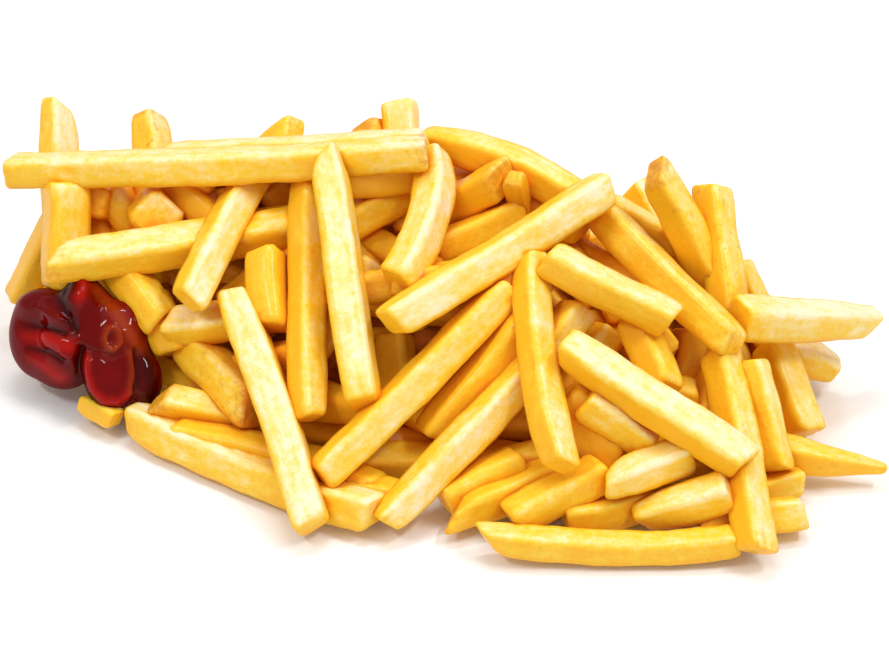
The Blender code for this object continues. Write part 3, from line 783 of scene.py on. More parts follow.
    def room_below(self, rod: Rod, lower: Sequence[Rod]) -> float:
        """Gives how far a rod can slide inwards before it meets something.

        Args:
            rod: The rod.
            lower: The rods that lie deeper.

        Returns:
            The room, mm.
        """
        room = None
        for low in lower:
            along = shared_way(low, rod)
            reach = mean_width(low, rod) * self.contact
            s, t, gap = nearest_shares(low, rod, along)
            if gap < reach:
                have = (rod.at(t) - low.at(s)).dot(along) - math.sqrt(reach * reach - gap * gap)
                room = have if room is None else min(room, have)
        over = min(self.layer.outside(rod.at(step / 6.0)) for step in range(7)) + self.core_inset
        over -= rod.fry.width / 2.0 * self.contact
        facing = self.layer.outward(rod.at(0.5)).dot(rod.way()) > self.facing
        if over < (room or self.loose_reach) and facing:
            room = over
        return room or 0.0

    def settle(self, rods: Sequence[Rod]) -> None:
        """Slides the rods, given undermost first, until none passes through another."""
        pairs = []
        for j, high in enumerate(rods):
            for low in rods[:j]:
                if low.way().dot(high.way()) < self.same_way:
                    continue
                if nearest_shares(low, high, shared_way(low, high))[2] < self.pair_reach:
                    pairs.append((low, high))
        below = {rod: [low for low, high in pairs if high is rod] for rod in rods}
        for turn in range(self.settle_rounds):
            for low, high in pairs:
                self.part_pair(low, high)
            if turn < self.settle_rounds - self.parting_rounds:
                for rod in rods:
                    rod.push(0.5, -self.fall_share * max(self.room_below(rod, below[rod]), 0.0))
            for rod in rods:
                rod.lift_off_floor()

    def lay_seen(self) -> list[Rod]:
        """Lays every fry that shows."""
        rods = []
        last = len(SEEN) - 1
        for index, fry in enumerate(SEEN):
            sink = self.deepest_sink + (self.top_sink - self.deepest_sink) * index / last
            rods.append(self.first_lay(fry, sink))
        self.settle(rods)
        return rods

    def under_outline(self, point: Vector) -> bool:
        """Says whether a point shows below the heap's upper outline."""
        x, y = self.view.pixel_of(point)
        for (x0, y0), (x1, y1) in zip(self.outline_px, self.outline_px[1:]):
            if x0 <= x <= x1:
                return y > y0 + (y1 - y0) * (x - x0) / (x1 - x0) + self.outline_margin_px
        return False

    def fits(self, rod: Rod, rule: FillRule) -> bool:
        """Says whether both ends keep off the floor, near the heap and below its outline."""
        low = rod.fry.width * rod.floor_clearance
        return all(
            p.z >= low
            and abs(p.x) < rule.half_length
            and self.layer.outside(p) < rule.overhang
            and self.under_outline(p)
            for p in rod.ends
        )

    def overlap(self, rod: Rod, other: Rod) -> float:
        """Gives how deep two rods pass into each other, mm."""
        return mean_width(rod, other) - nearest_shares(rod, other, self.no_way)[2]

    def place_on_layer(self, index: int, count: int) -> Vector:
        """Gives one of many places that are spread evenly over the layer.

        Args:
            index: Which of them.
            count: How many there are.

        Returns:
            The place, mm.
        """
        rise = 0.02 + 0.96 * (index + 0.5) / count
        turn = index * GOLDEN_TURN
        ring = math.sqrt(1.0 - rise * rise)
        long, deep, tall = self.spokes
        spoke = Vector((ring * math.cos(turn) * long, ring * math.sin(turn) * deep, rise * tall))
        share = 0.05
        while self.layer.outside(self.heart + spoke * share) < 0.0 and share < 1.5:
            share += 0.02
        return self.heart + spoke * share

    def lay_deeper(self) -> list[Rod]:
        """Lays the fries that show only through gaps."""
        rods = []
        for deeper in DEEPER:
            rod = self.first_lay(deeper.fry, deeper.sink)
            rod.ends[1] = rod.ends[1] - rod.ways[1] * deeper.lean
            rod.lift_off_floor()
            rods.append(rod)
        return rods

    def clear_view(self, back: Sequence[Rod]) -> list[Rod]:
        """Takes the fries of the back out of the way of those that show."""
        for rod in back:
            move = Vector((*BACK_MOVES.get(rod.fry.name, (0.0, 0.0)), 0.0))
            rod.ends = [end + move for end in rod.ends]
        return [rod for rod in back if rod.fry.name not in BACK_LEFT_OUT]

    def hides(self, rod: Rod, other: Rod) -> bool:
        """Says whether a rod covers another one in the photograph."""
        along = other.way()
        reach = mean_width(rod, other) * self.hiding
        s, t, gap = nearest_shares(rod, other, along)
        return gap < reach and (rod.at(s) - other.at(t)).dot(along) > 0.0

    def lay_where_room(
        self, rule: FillRule, others: Sequence[Rod], shown: Sequence[Rod] = ()
    ) -> list[Rod]:
        """Lays fries over one side of the heap, where each finds room.

        Args:
            rule: The rule that they follow.
            others: The rods that lie there already.
            shown: The rods that they mustn't hide.

        Returns:
            The new rods.
        """
        draw = random.Random(rule.seed)
        order = list(range(rule.count))
        draw.shuffle(order)
        rods: list[Rod] = []
        for rank, index in enumerate(order):
            place = self.place_on_layer(index, rule.count)
            out = self.layer.outward(place)
            facing = out.dot((self.view.eye - place).normalized()) > self.edge_on
            if facing is not (rule.side is Side.TOWARDS):
                continue
            level = out.cross(Vector((0.0, 0.0, 1.0))).normalized()
            slope = out.cross(level)
            sink = rule.sink[0] + (rule.sink[1] - rule.sink[0]) * rank / rule.count
            best = (rule.clash, None)
            for attempt in range(rule.tries):
                angle = draw.uniform(-self.most_tilt, self.most_tilt)
                along = level * math.cos(angle) + slope * math.sin(angle)
                length = draw.uniform(*rule.length)
                width = draw.uniform(*rule.width)
                fry = Fry(f"{rule.name}_{index}", (0, 0), (0, 0), width, draw.uniform(0.0, 45.0))
                middle = place - out * sink
                if middle.z < width * self.near_floor:
                    middle.z = width * Rod.floor_clearance
                    along = Vector((along.x, along.y, 0.0)).normalized()
                ends = [middle - along * length / 2.0, middle + along * length / 2.0]
                rod = Rod(fry, ends, [out, out])
                if self.fits(rod, rule):
                    clash = max(self.overlap(rod, other) for other in [*others, *rods])
                    if clash < best[0] and not any(self.hides(rod, other) for other in shown):
                        best = (clash, rod)
            if best[1]:
                rods.append(best[1])
        return rods

    def gather(self, rods: Sequence[Rod]) -> None:
        """Slides those rods of the solid heap inwards that hang free, until each is held."""
        shape = self.layer.shape(
            self.core_inset, self.core_sides, self.core_rings, self.core_reach
        )
        core = BVHTree.FromBMesh(shape)
        for turn in range(self.gather_rounds):
            free = [rod for rod in rods if not self.meets(rod, core)]
            held = [rod for rod in rods if rod not in free]
            while held:
                held = [rod for rod in free if any(self.touching(rod, other) for other in held)]
                free = [rod for rod in free if rod not in held]
            if not free:
                return
            for rod in free:
                if min(end.z for end in rod.ends) > rod.fry.width:
                    rod.push(0.5, -self.gather_step)

    def touching(self, rod: Rod, other: Rod) -> bool:
        """Says whether two rods surely overlap."""
        return nearest_shares(rod, other, self.no_way)[2] < mean_width(rod, other) * self.sure_contact

    def meets(self, rod: Rod, core: BVHTree) -> bool:
        """Says whether a rod passes into the core, given as a tree of its faces."""
        for step in range(1, self.probes):
            point = rod.at(step / self.probes)
            spot, normal, _, distance = core.find_nearest(point)
            if (point - spot).dot(normal) < 0.0 or distance < rod.fry.width * self.core_contact:
                return True
        return False


class Lobe(NamedTuple):
    """One rounded lump of the ketchup, placed by where it shows.

    Attributes:
        centre_px: Its middle in the photograph, in pixels.
        across: Half its width in the picture, mm.
        thick: Half its depth along the line of sight, mm.
        tall: Half its height in the picture, mm.
        proud: How far its middle stands before the heap's middle layer, mm.
    """

    centre_px: tuple
    across: float
    thick: float
    tall: float
    proud: float


class Signal:
    """A socket that takes part in Python sums: an expression adds its Math nodes."""

    def __init__(self, board: "NodeBoard", socket: bpy.types.NodeSocket) -> None:
        """Keeps the socket and the board that it is on."""
        self.board = board
        self.socket = socket

    def maths(self, operation: str, *values: Any) -> "Signal":
        """Adds one Math node on values and signals."""
        return self.board.node("ShaderNodeMath", {"operation": operation}, dict(enumerate(values)))

    def __add__(self, other: Any) -> "Signal":
        """Adds."""
        return self.maths("ADD", self, other)

    def __radd__(self, other: Any) -> "Signal":
        """Adds, with the value first."""
        return self.maths("ADD", other, self)

    def __sub__(self, other: Any) -> "Signal":
        """Subtracts."""
        return self.maths("SUBTRACT", self, other)

    def __rsub__(self, other: Any) -> "Signal":
        """Subtracts from a value."""
        return self.maths("SUBTRACT", other, self)

    def __mul__(self, other: Any) -> "Signal":
        """Multiplies."""
        return self.maths("MULTIPLY", self, other)

    def __rmul__(self, other: Any) -> "Signal":
        """Multiplies, with the value first."""
        return self.maths("MULTIPLY", other, self)

    def smooth(self, low: float, high: float) -> "Signal":
        """Rises smoothly from 0 to 1 between two values.

        Args:
            low: Where the rise starts.
            high: Where it ends.

        Returns:
            The risen signal.
        """
        settings = {"interpolation_type": "SMOOTHSTEP"}
        return self.board.node("ShaderNodeMapRange", settings, {0: self, 1: low, 2: high})

    def clamped(self) -> "Signal":
        """Keeps the signal between 0 and 1."""
        return self.board.node("ShaderNodeClamp", {}, {0: self})

    def spread(self) -> "Signal":
        """Makes a vector with the signal in each of its parts."""
        return self.board.node("ShaderNodeCombineXYZ", {}, {0: self, 1: self, 2: self})


class NodeBoard:
    """A node tree, shader or geometry, with one method that adds any node."""

    def __init__(self, tree: bpy.types.NodeTree) -> None:
        """Keeps the tree."""
        self.tree = tree

    def node(
        self, kind: str, settings: dict[str, Any], values: dict[Any, Any], output: Any = 0
    ) -> Signal:
        """Adds a node, sets it up, then fills its sockets.

        Args:
            kind: The node's type.
            settings: The node's own settings, such as an operation or a ramp's stops.
            values: Values or links of its sockets, by name or number.
            output: The output that is wanted, by name or number.

        Returns:
            That output.
        """
        node = self.tree.nodes.new(kind)
        for name, value in settings.items():
            if name == "stops":
                self.set_stops(node.color_ramp, value)
            else:
                setattr(node, name, value)
        for key, value in values.items():
            if isinstance(value, Signal):
                self.tree.links.new(value.socket, node.inputs[key])
            else:
                node.inputs[key].default_value = value
        return Signal(self, node.outputs[output] if node.outputs else node.inputs[0])

    @staticmethod
    def set_stops(ramp: bpy.types.ColorRamp, stops: Sequence[tuple[float, Any]]) -> None:
        """Sets a ramp's stops, each a place and a colour."""
        while len(ramp.elements) < len(stops):
            ramp.elements.new(1.0)
        for element, (place, colour) in zip(ramp.elements, stops):
            element.position = place
            element.color = colour

    def attribute(self, name: str, output: str = "Fac") -> Signal:
        """Reads one of the piece's own attributes in a shader."""
        return self.node("ShaderNodeAttribute", {"attribute_name": name}, {}, output)

    def vector(self, operation: str, first: Any, second: Any, output: int = 0) -> Signal:
        """Adds one Vector Math node."""
        values = {0: first, 1: second}
        return self.node("ShaderNodeVectorMath", {"operation": operation}, values, output)

    def noise(self, vector: Signal, scale: float, detail: float = 2.0) -> Signal:
        """Adds a noise of 0 to 1 in space."""
        return self.node(
            "ShaderNodeTexNoise", {}, {"Vector": vector, "Scale": scale, "Detail": detail}
        )

    def mix(self, share: Any, first: Any, second: Any) -> Signal:
        """Mixes two colours.

        Args:
            share: How much of the second, 0 to 1.
            first: The first colour.
            second: The second colour.

        Returns:
            The mixed colour.
        """
        settings = {"data_type": "RGBA"}
        return self.node("ShaderNodeMix", settings, {0: share, 6: first, 7: second}, 2)


class MaterialBoard(NodeBoard):
    """The board of a new material, with its Principled shader."""

    def __init__(self, name: str, settings: dict[str, Any]) -> None:
        """Makes the material.

        Args:
            name: Its name.
            settings: What is the same all over it, by the shader's socket.
        """
        self.material = bpy.data.materials.new(name)
        self.material.use_nodes = True
        super().__init__(self.material.node_tree)
        self.shader = self.tree.nodes["Principled BSDF"]
        for key, value in settings.items():
            self.shader.inputs[key].default_value = value

    def feed(self, key: str, signal: Signal) -> None:
        """Links a signal to one of the shader's sockets."""
        self.tree.links.new(signal.socket, self.shader.inputs[key])

    def place(self) -> Signal:
        """Gives the place in the piece's own space."""
        return self.node("ShaderNodeTexCoord", {}, {}, "Object")

    def feed_bump(self, height: Signal, strength: float, depth: float) -> None:
        """Adds fine relief.

        Args:
            height: The relief's height, 0 to 1.
            strength: How much of it shows.
            depth: How deep it is, metres.
        """
        values = {"Height": height, "Strength": strength, "Distance": depth}
        self.feed("Normal", self.node("ShaderNodeBump", {}, values))


@dataclass(frozen=True)
class FriedPotato:
    """The finish of a fry: cream to gold, toasted at ends and corners, with a film of oil; painted
    shade and painted highlights lie in its colour.

    Attributes:
        name: Its name.
        cream: The least fried colour, followed by butter, gold and amber.
        toast: The colour of toasted ends.
        spot: The colour of the small brown spots.
        crevice_shade_colour: The colour of the painted shade deep between the fries.
        patch_scale: How fine the broad patches are, in noise cells a metre.
        mottle_scale: How fine the mottling is.
        grain_scale: How fine the grain is.
        spot_scale: How fine the brown spots are.
        streak_stretch: How drawn out along the fry the streaks are, 0 to 1.
        least_fried: How fried the palest fry is.
        oil: How much of the film of oil lies on an open face.
        relief: How deep the fine relief is, metres.
    """

    name: str = "fried_potato"
    cream: tuple = linear(255, 236, 196)
    butter: tuple = linear(254, 222, 132)
    gold: tuple = linear(254, 207, 54)
    amber: tuple = linear(252, 188, 34)
    toast: tuple = linear(212, 128, 44)
    spot: tuple = linear(206, 122, 40)
    crevice_shade_colour: tuple = linear(232, 130, 38)
    patch_scale: float = 110.0
    mottle_scale: float = 560.0
    grain_scale: float = 1500.0
    spot_scale: float = 520.0
    streak_stretch: float = 0.68
    least_fried: float = 0.16
    oil: float = 0.3
    relief: float = 0.0004

    def material(self) -> bpy.types.Material:
        """Builds the material."""
        settings = {
            "Subsurface Weight": 0.24,
            "Subsurface Radius": (1.0, 0.62, 0.2),
            "Subsurface Scale": 0.0022,
            "Coat Roughness": 0.18,
            "Specular IOR Level": 0.18,
        }
        board = MaterialBoard(self.name, settings)
        place = board.place()
        patch = board.noise(place, self.patch_scale, 3.0)
        mottle = board.noise(place, self.mottle_scale, 4.0)
        grain = board.noise(place, self.grain_scale, 2.0)
        run = board.attribute("run", "Vector")
        along = board.vector("DOT_PRODUCT", place, run, 1) * self.streak_stretch
        stretch = board.vector("SUBTRACT", place, board.vector("MULTIPLY", run, along.spread()))
        streak = board.noise(stretch, self.mottle_scale, 3.0)
        crevice_shade = board.attribute("crevice_shade")
        corner = board.attribute("corner")
        brown = board.attribute("brown")
        # How far a face turns from the light, painted as shade.
        lower = board.attribute("painted_shade_side")

        # Painted shade: the gold deepens where a point is closed in by other fries.
        frying_and_painted_shade = board.attribute("tone") + (patch - 0.5) * 0.8 + (mottle - 0.5) * 0.62
        frying_and_painted_shade = frying_and_painted_shade + (streak - 0.5) * 0.75 + (grain - 0.5) * 0.4 + crevice_shade * 0.7
        # Painted shade deepens the gold on faces turned from the light; corners on the lit side get a
        # paler painted highlight.
        frying_and_painted_shade = frying_and_painted_shade + lower * 0.92 + self.least_fried + corner * (lower - 0.34) * 0.9
        stops = ((0.0, self.cream), (0.3, self.butter), (0.62, self.gold), (1.0, self.amber))
        colour = board.node("ShaderNodeValToRGB", {"stops": stops}, {0: frying_and_painted_shade.clamped()})
        toasted = brown * 1.1 + (mottle - 0.5) * 0.9 + (streak - 0.5) * 0.5 + corner * 0.15
        colour = board.mix(toasted.smooth(0.35, 1.05) * 0.85, colour, self.toast)
        spots = board.noise(place, self.spot_scale, 1.0).smooth(0.62, 0.72)
        spotted = (board.attribute("speckle") * spots).clamped()
        colour = board.mix(spotted * 0.7, colour, self.spot)
        # Painted shade: closed-in points turn deep orange.
        colour = board.mix(crevice_shade.smooth(0.36, 0.9) * 0.75, colour, self.crevice_shade_colour)
        board.feed("Base Color", colour)
        board.feed("Coat Weight", (self.oil - crevice_shade * 0.34).clamped())
        board.feed("Roughness", 0.42 + (mottle - 0.5) * 0.3 + toasted.clamped() * 0.1)
        board.feed_bump(mottle * 0.55 + grain * 0.3 + streak * 0.4, 0.65, self.relief)
        return board.material


@dataclass(frozen=True)
class TomatoSauce:
    """The finish of the ketchup: deep red, thick, smooth and wet, with painted shade in its creases
    and at its edges and a painted sheen on some ridges and rims.
    """

    name: str = "tomato_sauce"
    deep: tuple = linear(102, 0, 0)
    bright: tuple = linear(176, 20, 12)
    rusty: tuple = linear(150, 50, 12)
    shade_black: tuple = linear(30, 0, 0)
    cloud_scale: float = 90.0
    grain_scale: float = 900.0

    def material(self) -> bpy.types.Material:
        """Builds the material."""
        settings = {
            "Subsurface Weight": 0.05,
            "Subsurface Radius": (1.0, 0.1, 0.05),
            "Subsurface Scale": 0.0015,
            "Coat Weight": 0.32,
            "Coat Roughness": 0.05,
            "Specular IOR Level": 0.0,
        }
        board = MaterialBoard(self.name, settings)
        place = board.place()
        cloud = board.noise(place, self.cloud_scale, 3.0)
        grain = board.noise(place, self.grain_scale, 3.0)
        # The lighter red is partly thinner sauce and partly painted sheen on ridges and rims.
        share = board.attribute("thin_and_painted_sheen") * 0.8 + (cloud - 0.5) * 0.55 + (grain - 0.5) * 0.15
        colour = board.mix(share.clamped(), self.deep, self.bright)
        colour = board.mix(board.attribute("rust").clamped() * 0.85, colour, self.rusty)
        # Painted shade along creases and at the lower and right edges.
        colour = board.mix(board.attribute("painted_dark_shade").clamped() * 0.8, colour, self.shade_black)
        board.feed("Base Color", colour)
        board.feed("Roughness", 0.14 + (grain - 0.5) * 0.1)
        board.feed_bump(cloud * 0.7 + grain * 0.2, 0.18, 0.0005)
        return board.material


@dataclass(frozen=True)
class DeepShade:
    """The finish of what shows in the deepest gaps: oily, deep red-brown potato, coloured as painted
    shade.
    """

    name: str = "deep_shade"
    # Both colours are painted shade for the deepest gaps.
    painted_dark_shade: tuple = linear(124, 44, 12)
    light: tuple = linear(196, 108, 26)
    cloud_scale: float = 140.0
    pit_scale: float = 600.0

    def material(self) -> bpy.types.Material:
        """Builds the material."""
        board = MaterialBoard(self.name, {"Roughness": 0.7, "Specular IOR Level": 0.1})
        place = board.place()
        cloud = board.noise(place, self.cloud_scale, 4.0)
        board.feed("Base Color", board.mix(cloud.smooth(0.3, 0.7), self.painted_dark_shade, self.light))
        board.feed_bump(board.noise(place, self.pit_scale, 3.0), 0.6, 0.001)
        return board.material


@dataclass(frozen=True)
class PlainFloor:
    """The finish of the floor: plain, pale and dull."""

    name: str = "plain_floor"
    pale: tuple = linear(250, 250, 250)

    def material(self) -> bpy.types.Material:
        """Builds the material."""
        return MaterialBoard(self.name, {"Base Color": self.pale, "Roughness": 0.9}).material


def put_in_scene(name: str, mesh: bpy.types.Mesh) -> bpy.types.Object:
    """Adds the object of a finished mesh to the scene.

    Args:
        name: The object's name.
        mesh: Its mesh, in place.

    Returns:
        The object.
    """
    piece = bpy.data.objects.new(name, mesh)
    bpy.context.scene.collection.objects.link(piece)
    return piece


def mesh_in_metres(name: str, bm: bmesh.types.BMesh) -> bpy.types.Mesh:
    """Turns a shape in millimetres into a mesh in metres, centred as the heap is.

    Args:
        name: The mesh's name.
        bm: The shape, which is freed.

    Returns:
        The mesh.
    """
    for vert in bm.verts:
        vert.co = (vert.co + CENTRE_SHIFT) * MM
    bm.normal_update()
    bmesh.ops.recalc_face_normals(bm, faces=bm.faces)
    mesh = bpy.data.meshes.new(name)
    bm.to_mesh(mesh)
    bm.free()
    return mesh


def plain_mesh(piece: bpy.types.Object) -> None:
    """Turns an object and its modifiers into one plain mesh."""
    graph = bpy.context.evaluated_depsgraph_get()
    mesh = bpy.data.meshes.new_from_object(piece.evaluated_get(graph), depsgraph=graph)
    piece.modifiers.clear()
    piece.data = mesh


class SpineSheet:
    """The spines of many fries as chains of points, with what each point carries."""

    floats = ("girth", "tone", "brown", "speckle", "fry_seed")
    vectors = ("facing", "run", "spine", "skew")

    def __init__(self) -> None:
        """Starts an empty sheet."""
        self.points: list[Vector] = []
        self.edges: list[tuple[int, int]] = []
        self.values: dict[str, list] = {name: [] for name in (*self.floats, *self.vectors)}

    def add(self, point: Vector, joined: bool, **values: Any) -> None:
        """Adds one point.

        Args:
            point: The point, metres.
            joined: Whether it follows the point before it.
            values: What it carries.
        """
        if joined:
            self.edges.append((len(self.points) - 1, len(self.points)))
        self.points.append(point)
        for name, value in values.items():
            self.values[name].append(value)

    def mesh(self, name: str) -> bpy.types.Mesh:
        """Makes the chains' mesh, under a name, with its attributes."""
        mesh = bpy.data.meshes.new(name)
        mesh.from_pydata(self.points, self.edges, [])
        for key in self.floats:
            layer = mesh.attributes.new(key, "FLOAT", "POINT")
            layer.data.foreach_set("value", self.values[key])
        for key in self.vectors:
            layer = mesh.attributes.new(key, "FLOAT_VECTOR", "POINT")
            layer.data.foreach_set("vector", [part for v in self.values[key] for part in v])
        return mesh


@dataclass
class FrySweep:
    """Turns spines into fries: a rounded square section swept along each, with fine relief.

    Attributes:
        around: Points round the section.
        rounding: Radius of the section's corners as a share of its side.
        sag: How far the faces sink between the corners, metres.
        ripple: Height of the broad unevenness, metres.
        blister: Height of the fine unevenness, metres.
        broad_scale: How many broad bumps lie in a metre.
        fine_scale: How many fine ones do.
    """

    around: int = 24
    rounding: float = 0.135
    sag: float = 0.0003
    ripple: float = 0.0009
    blister: float = 0.0005
    broad_scale: float = 115.0
    fine_scale: float = 420.0

    def tree(self) -> bpy.types.NodeTree:
        """Builds the Geometry Nodes tree, with named inputs."""
        tree = bpy.data.node_groups.new("fry_sweep", "GeometryNodeTree")
        face = tree.interface
        face.new_socket("Spines", in_out="INPUT", socket_type="NodeSocketGeometry")
        sizes = (("Around", "Int"), ("Rounding", "Float"), ("Sag", "Float"),
                 ("Ripple", "Float"), ("Blister", "Float"), ("Skin", "Material"))
        for name, kind in sizes:
            face.new_socket(name, in_out="INPUT", socket_type=f"NodeSocket{kind}")
        face.new_socket("Fries", in_out="OUTPUT", socket_type="NodeSocketGeometry")
        board = NodeBoard(tree)
        source = tree.nodes.new("NodeGroupInput")
        given = {socket.name: Signal(board, socket) for socket in source.outputs if socket.name}

        def carried(name: str, kind: str) -> Signal:
            """Reads an attribute of the spines."""
            return board.node("GeometryNodeInputNamedAttribute", {"data_type": kind}, {0: name})

        spines = board.node("GeometryNodeMeshToCurve", {}, {0: given["Spines"]})
        spines = board.node(
            "GeometryNodeSetCurveNormal",
            {"mode": "FREE"},
            {0: spines, "Normal": carried("facing", "FLOAT_VECTOR")},
        )
        square = board.node(
            "GeometryNodeCurvePrimitiveQuadrilateral", {}, {"Width": 1.0, "Height": 1.0}
        )
        square = board.node(
            "GeometryNodeFilletCurve",
            {"mode": "POLY"},
            {0: square, "Count": 5, "Radius": given["Rounding"]},
        )
        square = board.node("GeometryNodeResampleCurve", {}, {0: square, "Count": given["Around"]})
        spot = board.node("GeometryNodeInputPosition", {}, {})
        parts = [
            board.node("ShaderNodeSeparateXYZ", {}, {0: spot}, key).maths("ABSOLUTE")
            for key in ("X", "Y")
        ]
        cornered = parts[0].maths("MINIMUM", parts[1]) * 2.0
        square = board.node(
            "GeometryNodeStoreNamedAttribute", {},
            {0: square, "Name": "corner", "Value": cornered.smooth(0.35, 0.95)},
        )
        fries = board.node(
            "GeometryNodeCurveToMesh", {},
            {0: spines, 1: square, "Scale": carried("girth", "FLOAT"), "Fill Caps": True},
        )

        # The ends are cut on a slant: each point slides along the run by its place across.
        spot = board.node("GeometryNodeInputPosition", {}, {})
        across = board.vector("SUBTRACT", spot, carried("spine", "FLOAT_VECTOR"))
        slide = board.vector("DOT_PRODUCT", across, carried("skew", "FLOAT_VECTOR"), 1)
        offset = board.vector("MULTIPLY", carried("run", "FLOAT_VECTOR"), slide.spread())
        fries = board.node("GeometryNodeSetPosition", {}, {0: fries, "Offset": offset})

        # Frying leaves the faces a little sunken and the whole skin uneven.
        shift = board.node("ShaderNodeCombineXYZ", {}, {0: carried("fry_seed", "FLOAT")})
        where = board.vector("ADD", board.node("GeometryNodeInputPosition", {}, {}), shift)
        broad = board.noise(where, self.broad_scale, 1.0)
        fine = board.noise(where, self.fine_scale, 2.0)
        rise = (broad - 0.5) * given["Ripple"] + (fine - 0.5) * given["Blister"]
        rise = rise - (1.0 - carried("corner", "FLOAT")) * given["Sag"]
        normal = board.node("GeometryNodeInputNormal", {}, {})
        offset = board.vector("MULTIPLY", normal, rise.spread())
        fries = board.node("GeometryNodeSetPosition", {}, {0: fries, "Offset": offset})

        fries = board.node("GeometryNodeSetShadeSmooth", {}, {0: fries})
        fries = board.node("GeometryNodeRealizeInstances", {}, {0: fries})
        fries = board.node("GeometryNodeSetMaterial", {}, {0: fries, "Material": given["Skin"]})
        sink = tree.nodes.new("NodeGroupOutput")
        tree.links.new(fries.socket, sink.inputs[0])
        return tree

    def sweep(
        self, name: str, sheet: SpineSheet, material: bpy.types.Material
    ) -> bpy.types.Object:
        """Makes one plain piece of all the fries of a sheet.

        Args:
            name: The piece's name.
            sheet: Their spines.
            material: Their skin.

        Returns:
            The piece.
        """
        piece = put_in_scene(name, sheet.mesh(name))
        tree = self.tree()
        modifier = piece.modifiers.new("sweep", "NODES")
        modifier.node_group = tree
        given = {
            "Around": self.around,
            "Rounding": self.rounding,
            "Sag": self.sag,
            "Ripple": self.ripple,
            "Blister": self.blister,
            "Skin": material,
        }
        for item in tree.interface.items_tree:
            if item.in_out == "INPUT" and item.name in given:
                modifier[item.identifier] = given[item.name]
        plain_mesh(piece)
        return piece


